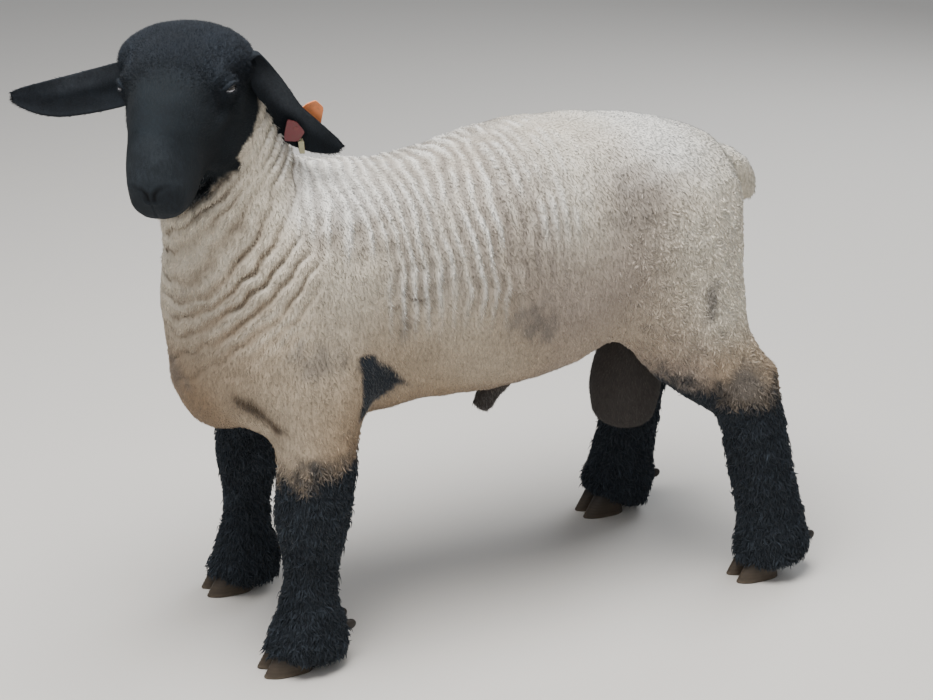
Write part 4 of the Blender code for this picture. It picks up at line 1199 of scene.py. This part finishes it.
# The shorn fleece of trunk, neck and thighs.
count, long, wide = LOCKS["fleece"]
root, normal, take = scattered(woolly * (skin_points[:, 2] > 0.02), count, 31)
rng = np.random.default_rng(32)
y = root[:, 1]
ridge, crease = wrinkles(root)
thigh = rise(y, 0.20, 0.08) * fall(root[:, 2], 0.60, 0.08)
fine = streaks(root, thigh)
black = take(black_at)
# painted highlight on the ridges and painted shade in the neck's creases; lighter where the crimp lifts the
# locks and darker between, as painted light and shade, with a random tone
hue = mixed(take(skin_hue), WHITE, 0.85 * ridge * (1 - black))
hue = mixed(hue, BROWN * 0.42, 0.90 * crease * (1 - black))
light = 1 + 0.11 * rng.normal(size=count) + (0.31 + 0.10 * thigh) * fine
hue = hue * light.clip(0.55, 1.45)[:, None]
length = long * rng.uniform(0.7, 1.35, count) * (1 - 0.25 * ridge)
width = wide * rng.uniform(0.7, 1.3, count) * (1 + 0.2 * ridge)
lift = 0.22 + 0.14 * rng.uniform(size=count) + 0.40 * ridge - 0.12 * crease + (0.12 + 0.16 * thigh) * fine
way = jitter(lie_of_coat(root, normal), normal, 0.24 + 0.40 * thigh, 33)
locks = (root, normal, way, length, width, lift, 0 * lift, hue)
borders = (-9.0, -0.245, -0.120, 0.040, 0.200, 9.0)  # of the pieces, from nose to tail
for index, word in enumerate(("neck", "shoulder", "ribs", "flank", "haunch")):
    chosen = (y >= borders[index]) & (y < borders[index + 1])
    part = [values[chosen] for values in locks]
    chart = chart_of(root[chosen], 1)
    add_coat("coat_" + word, part, (0.84, 1.20), chart, 40 + index, 1, wool_finish)

# Longer matted locks on the thighs, where the shears ran over the crimp.
x, y, z = skin_points.T
thigh_at = rise(y, 0.19, 0.07) * fall(z, 0.62, 0.08) * rise(z, 0.33, 0.05)
lock_share = woolly * thigh_at * (1 - 0.7 * rise(z, 0.50, 0.08)) * (1 - zone["tail"])
count, long, wide = LOCKS["thighs"]
root, normal, take = scattered(lock_share, count, 35)
rng = np.random.default_rng(36)
wave = streaks(root, np.ones(count))
light = 1.00 + 0.07 * rng.normal(size=count) + 0.24 * wave + 0.16 * mottle(root, 0.026, 39)
hue = take(skin_hue) * light.clip(0.5, 1.45)[:, None]
size = rng.uniform(0.65, 1.3, count)
way = jitter(lie_of_coat(root, normal), normal, 0.30, 37)
way = turned(way, normal, 0.9 * mottle(root, 0.030, 34))
lift = 0.30 + 0.14 * rng.uniform(size=count) + 0.16 * mottle(root, 0.022, 30)
crimp = 0.10 * rng.uniform(0.5, 1.4, count)
locks = (root, normal, way, long * size, wide * size, lift, crimp, hue)
add_coat("coat_thighs", locks, (0.72, 1.06), chart_of(root, 1), 38, 2, wool_finish)

# The black wool of the shanks: deep, dense and curly, hanging over the hoofs.
shank_share = rise(shank_at, 0.15, 0.5) + 0.8 * black_leg_at
count, long, wide = LOCKS["shanks"]
root, normal, take = scattered(shank_share, count, 51)
rng = np.random.default_rng(52)
hue = varied(take(skin_hue), rng, 0.22, 1.7)
clump = 1 + 0.26 * mottle(root, 0.024, 54)
deep = 0.55 + 0.45 * ease(take(shank_share, even=True))
length = long * rng.uniform(0.65, 1.25, count) * clump * deep
width = wide * rng.uniform(0.7, 1.3, count)
hue = hue * (0.85 + 0.35 * (clump - 0.6))[:, None]
under = ease((-normal[:, 2] - 0.3) / 0.4)
lift = (0.38 + 0.50 * rng.uniform(size=count)) * clump * (1 - 0.7 * under)
crimp = 0.20 * rng.uniform(0.5, 1.3, count)
way = jitter(np.tile((0.0, 0.12, -1.0), (count, 1)), normal, 0.55, 53)
locks = (root, normal, way, length, width, lift, crimp, hue)
leg_of = 2 * (root[:, 1] >= 0) + (root[:, 0] <= 0)  # the leg's place in LEGS
for index, leg in enumerate(LEGS):
    chosen = leg_of == index
    part = [values[chosen] for values in locks]
    chart = chart_of(root[chosen], 2)
    add_coat("coat_" + leg, part, (0.8, 1.25), chart, 60 + index, 2, dark_finish)

# The head: hair lying back from the nose, and a soft woolly cap from the brow to behind the ears.
head_place = to_head(skin_points)
poll_at = poll_share(head_place)
lid_gap = eye_gap(head_place, (0.006, -0.003, 0.001))
clear = rise(lid_gap, 0.0095, 0.004) * ease((nostril_gap(head_place) - 0.003) / 0.003)
face_share = zone["head"] * (1 - 0.8 * poll_at) * clear
cap_share = ease(zone["head"] + 0.4 * zone["neck"] * black_at) * poll_at
BACK, DOWN = np.array((0.0, 1.0, 0.10)) @ HEAD_TURN.T, np.array((0.0, 0.3, -1.0)) @ HEAD_TURN.T
for index, (word, share, stand, spread, base, finish) in enumerate((
    ("face", face_share, 0.42, 0.25, 0.85, hair_finish),
    ("poll", cap_share, 1.15, 1.6, 0.75, dark_finish),
)):
    count, long, wide = LOCKS[word]
    root, normal, take = scattered(share, count, 71 + index)
    rng = np.random.default_rng(73 + index)
    place = to_head(root)
    cheek = ease((-place[:, 2] - 0.01) / 0.05)[:, None]
    way = jitter(BACK + 0.8 * cheek * DOWN, normal, spread, 75 + index)
    hue = varied(take(skin_hue), rng, 0.16)
    size = rng.uniform(0.7, 1.3, count) * (1 - 0.45 * fall(place[:, 1], -0.09, 0.07))
    if word == "poll":
        size = size * (0.75 + 0.25 * ease((take(poll_at) - 0.2) / 0.6))
    near = 0.5 + 0.5 * ease((take(lid_gap) - 0.008) / 0.014)
    lift = stand * near * rng.uniform(0.7, 1.2, count)
    locks = (root, normal, way, long * size * near, wide * size, lift, 0 * size, hue)
    add_coat("coat_" + word, locks, (base, 1.13), chart_of(place, 1), 77 + index, 1, finish)

# Ears and scrotum: sparse short hair lying along the ear and down the pouch.
count, long, wide = LOCKS["ear"]
for side, word in ((1, "left"), (-1, "right")):
    ear_points, ear_tris, ear_spots = ears[side]
    surface = (ear_points, normals_of(ear_points, ear_tris), ear_tris)
    root, normal, take = scattered(ease(ear_spots[:, 0] / 0.05), count, 81 + side, surface)
    rng = np.random.default_rng(84 + side)
    near_root, near_tip = from_head(ear_surface(side, np.array((0.1, 0.9)), np.zeros(2), np.zeros(2)))
    way = jitter(np.tile(near_tip - near_root, (count, 1)), normal, 0.30, 87 + side)
    hue = varied(take(ear_hues[side]), rng, 0.2)
    size = rng.uniform(0.7, 1.3, count)
    locks = (root, normal, way, long * size, wide * size, 0.18 + 0.08 * size, 0 * size, hue)
    chart = chart_of(to_head(root), 0)
    add_coat("coat_ear_" + word, locks, (0.85, 1.25), chart, 90 + side, 1, hair_finish)
count, long, wide = LOCKS["scrotum"]
root, normal, take = scattered(zone["scrotum"], count, 95)
rng = np.random.default_rng(96)
hue = varied(take(skin_hue), rng, 0.2)
size = rng.uniform(0.7, 1.3, count)
way = jitter(np.tile((0.0, 0.0, -1.0), (count, 1)), normal, 0.35, 97)
locks = (root, normal, way, long * size, wide * size, 0.28 + 0.12 * size, 0 * size, hue)
add_coat("coat_scrotum", locks, (0.85, 1.3), chart_of(root, 2), 98, 1, hair_finish)


# ---------------------------------------------------------------- the studio
# What stands round the lamb for its picture: a pale flat floor, three soft round lamps and a dim
# sky. The camera looks down on its left side from 2.75 m.

floor_mesh = bpy.data.meshes.new("floor")
floor_mesh.from_pydata([(-6, -6, 0), (6, -6, 0), (6, 6, 0), (-6, 6, 0)], [], [(0, 1, 2, 3)])
floor = add_object("floor", floor_mesh)
floor_finish = bpy.data.materials.new("pale_floor")
floor_finish.use_nodes = True
floor_surface = floor_finish.node_tree.nodes["Principled BSDF"].inputs
floor_surface["Base Color"].default_value = (0.62, 0.60, 0.57, 1)
floor_surface["Roughness"].default_value = 0.9
floor_mesh.materials.append(floor_finish)

CAMERA_AT, CAMERA_TO = (2.3475, -0.9795, 1.3457), (-0.0055, 0.0485, 0.3600)
LENS, SENSOR = 77.17, 36.0  # millimetres
LAMP_SIZE, LAMPS_TO = 2.2, (0, 0, 0.4)


def add_aimed(name, data, at, aim):
    """A camera or a lamp at one place, looking at another."""
    thing = add_object(name, data)
    thing.location = at
    thing.rotation_euler = (Vector(at) - Vector(aim)).to_track_quat("Z", "Y").to_euler()
    return thing


camera_data = bpy.data.cameras.new("camera")
camera_data.sensor_width = SENSOR
camera_data.lens = LENS
bpy.context.scene.camera = add_aimed("camera", camera_data, CAMERA_AT, CAMERA_TO)
for name, at, power, colour in (
    ("sky", (0.5, -0.5, 3.2), 200, (1.0, 0.98, 0.95)),
    ("front", (2.6, -2.4, 1.9), 27, (1.0, 0.98, 0.96)),
    ("rear", (-1.6, 2.6, 2.2), 52, (0.94, 0.97, 1.0)),
):
    lamp = bpy.data.lights.new(name, "AREA")
    lamp.shape = "DISK"
    lamp.size = LAMP_SIZE
    lamp.energy = power
    lamp.color = colour
    add_aimed(name, lamp, at, LAMPS_TO)
world = bpy.data.worlds.new("studio")
bpy.context.scene.world = world
world.use_nodes = True
sky = world.node_tree.nodes["Background"].inputs
sky["Color"].default_value = (0.82, 0.86, 0.92, 1)
sky["Strength"].default_value = 0.34
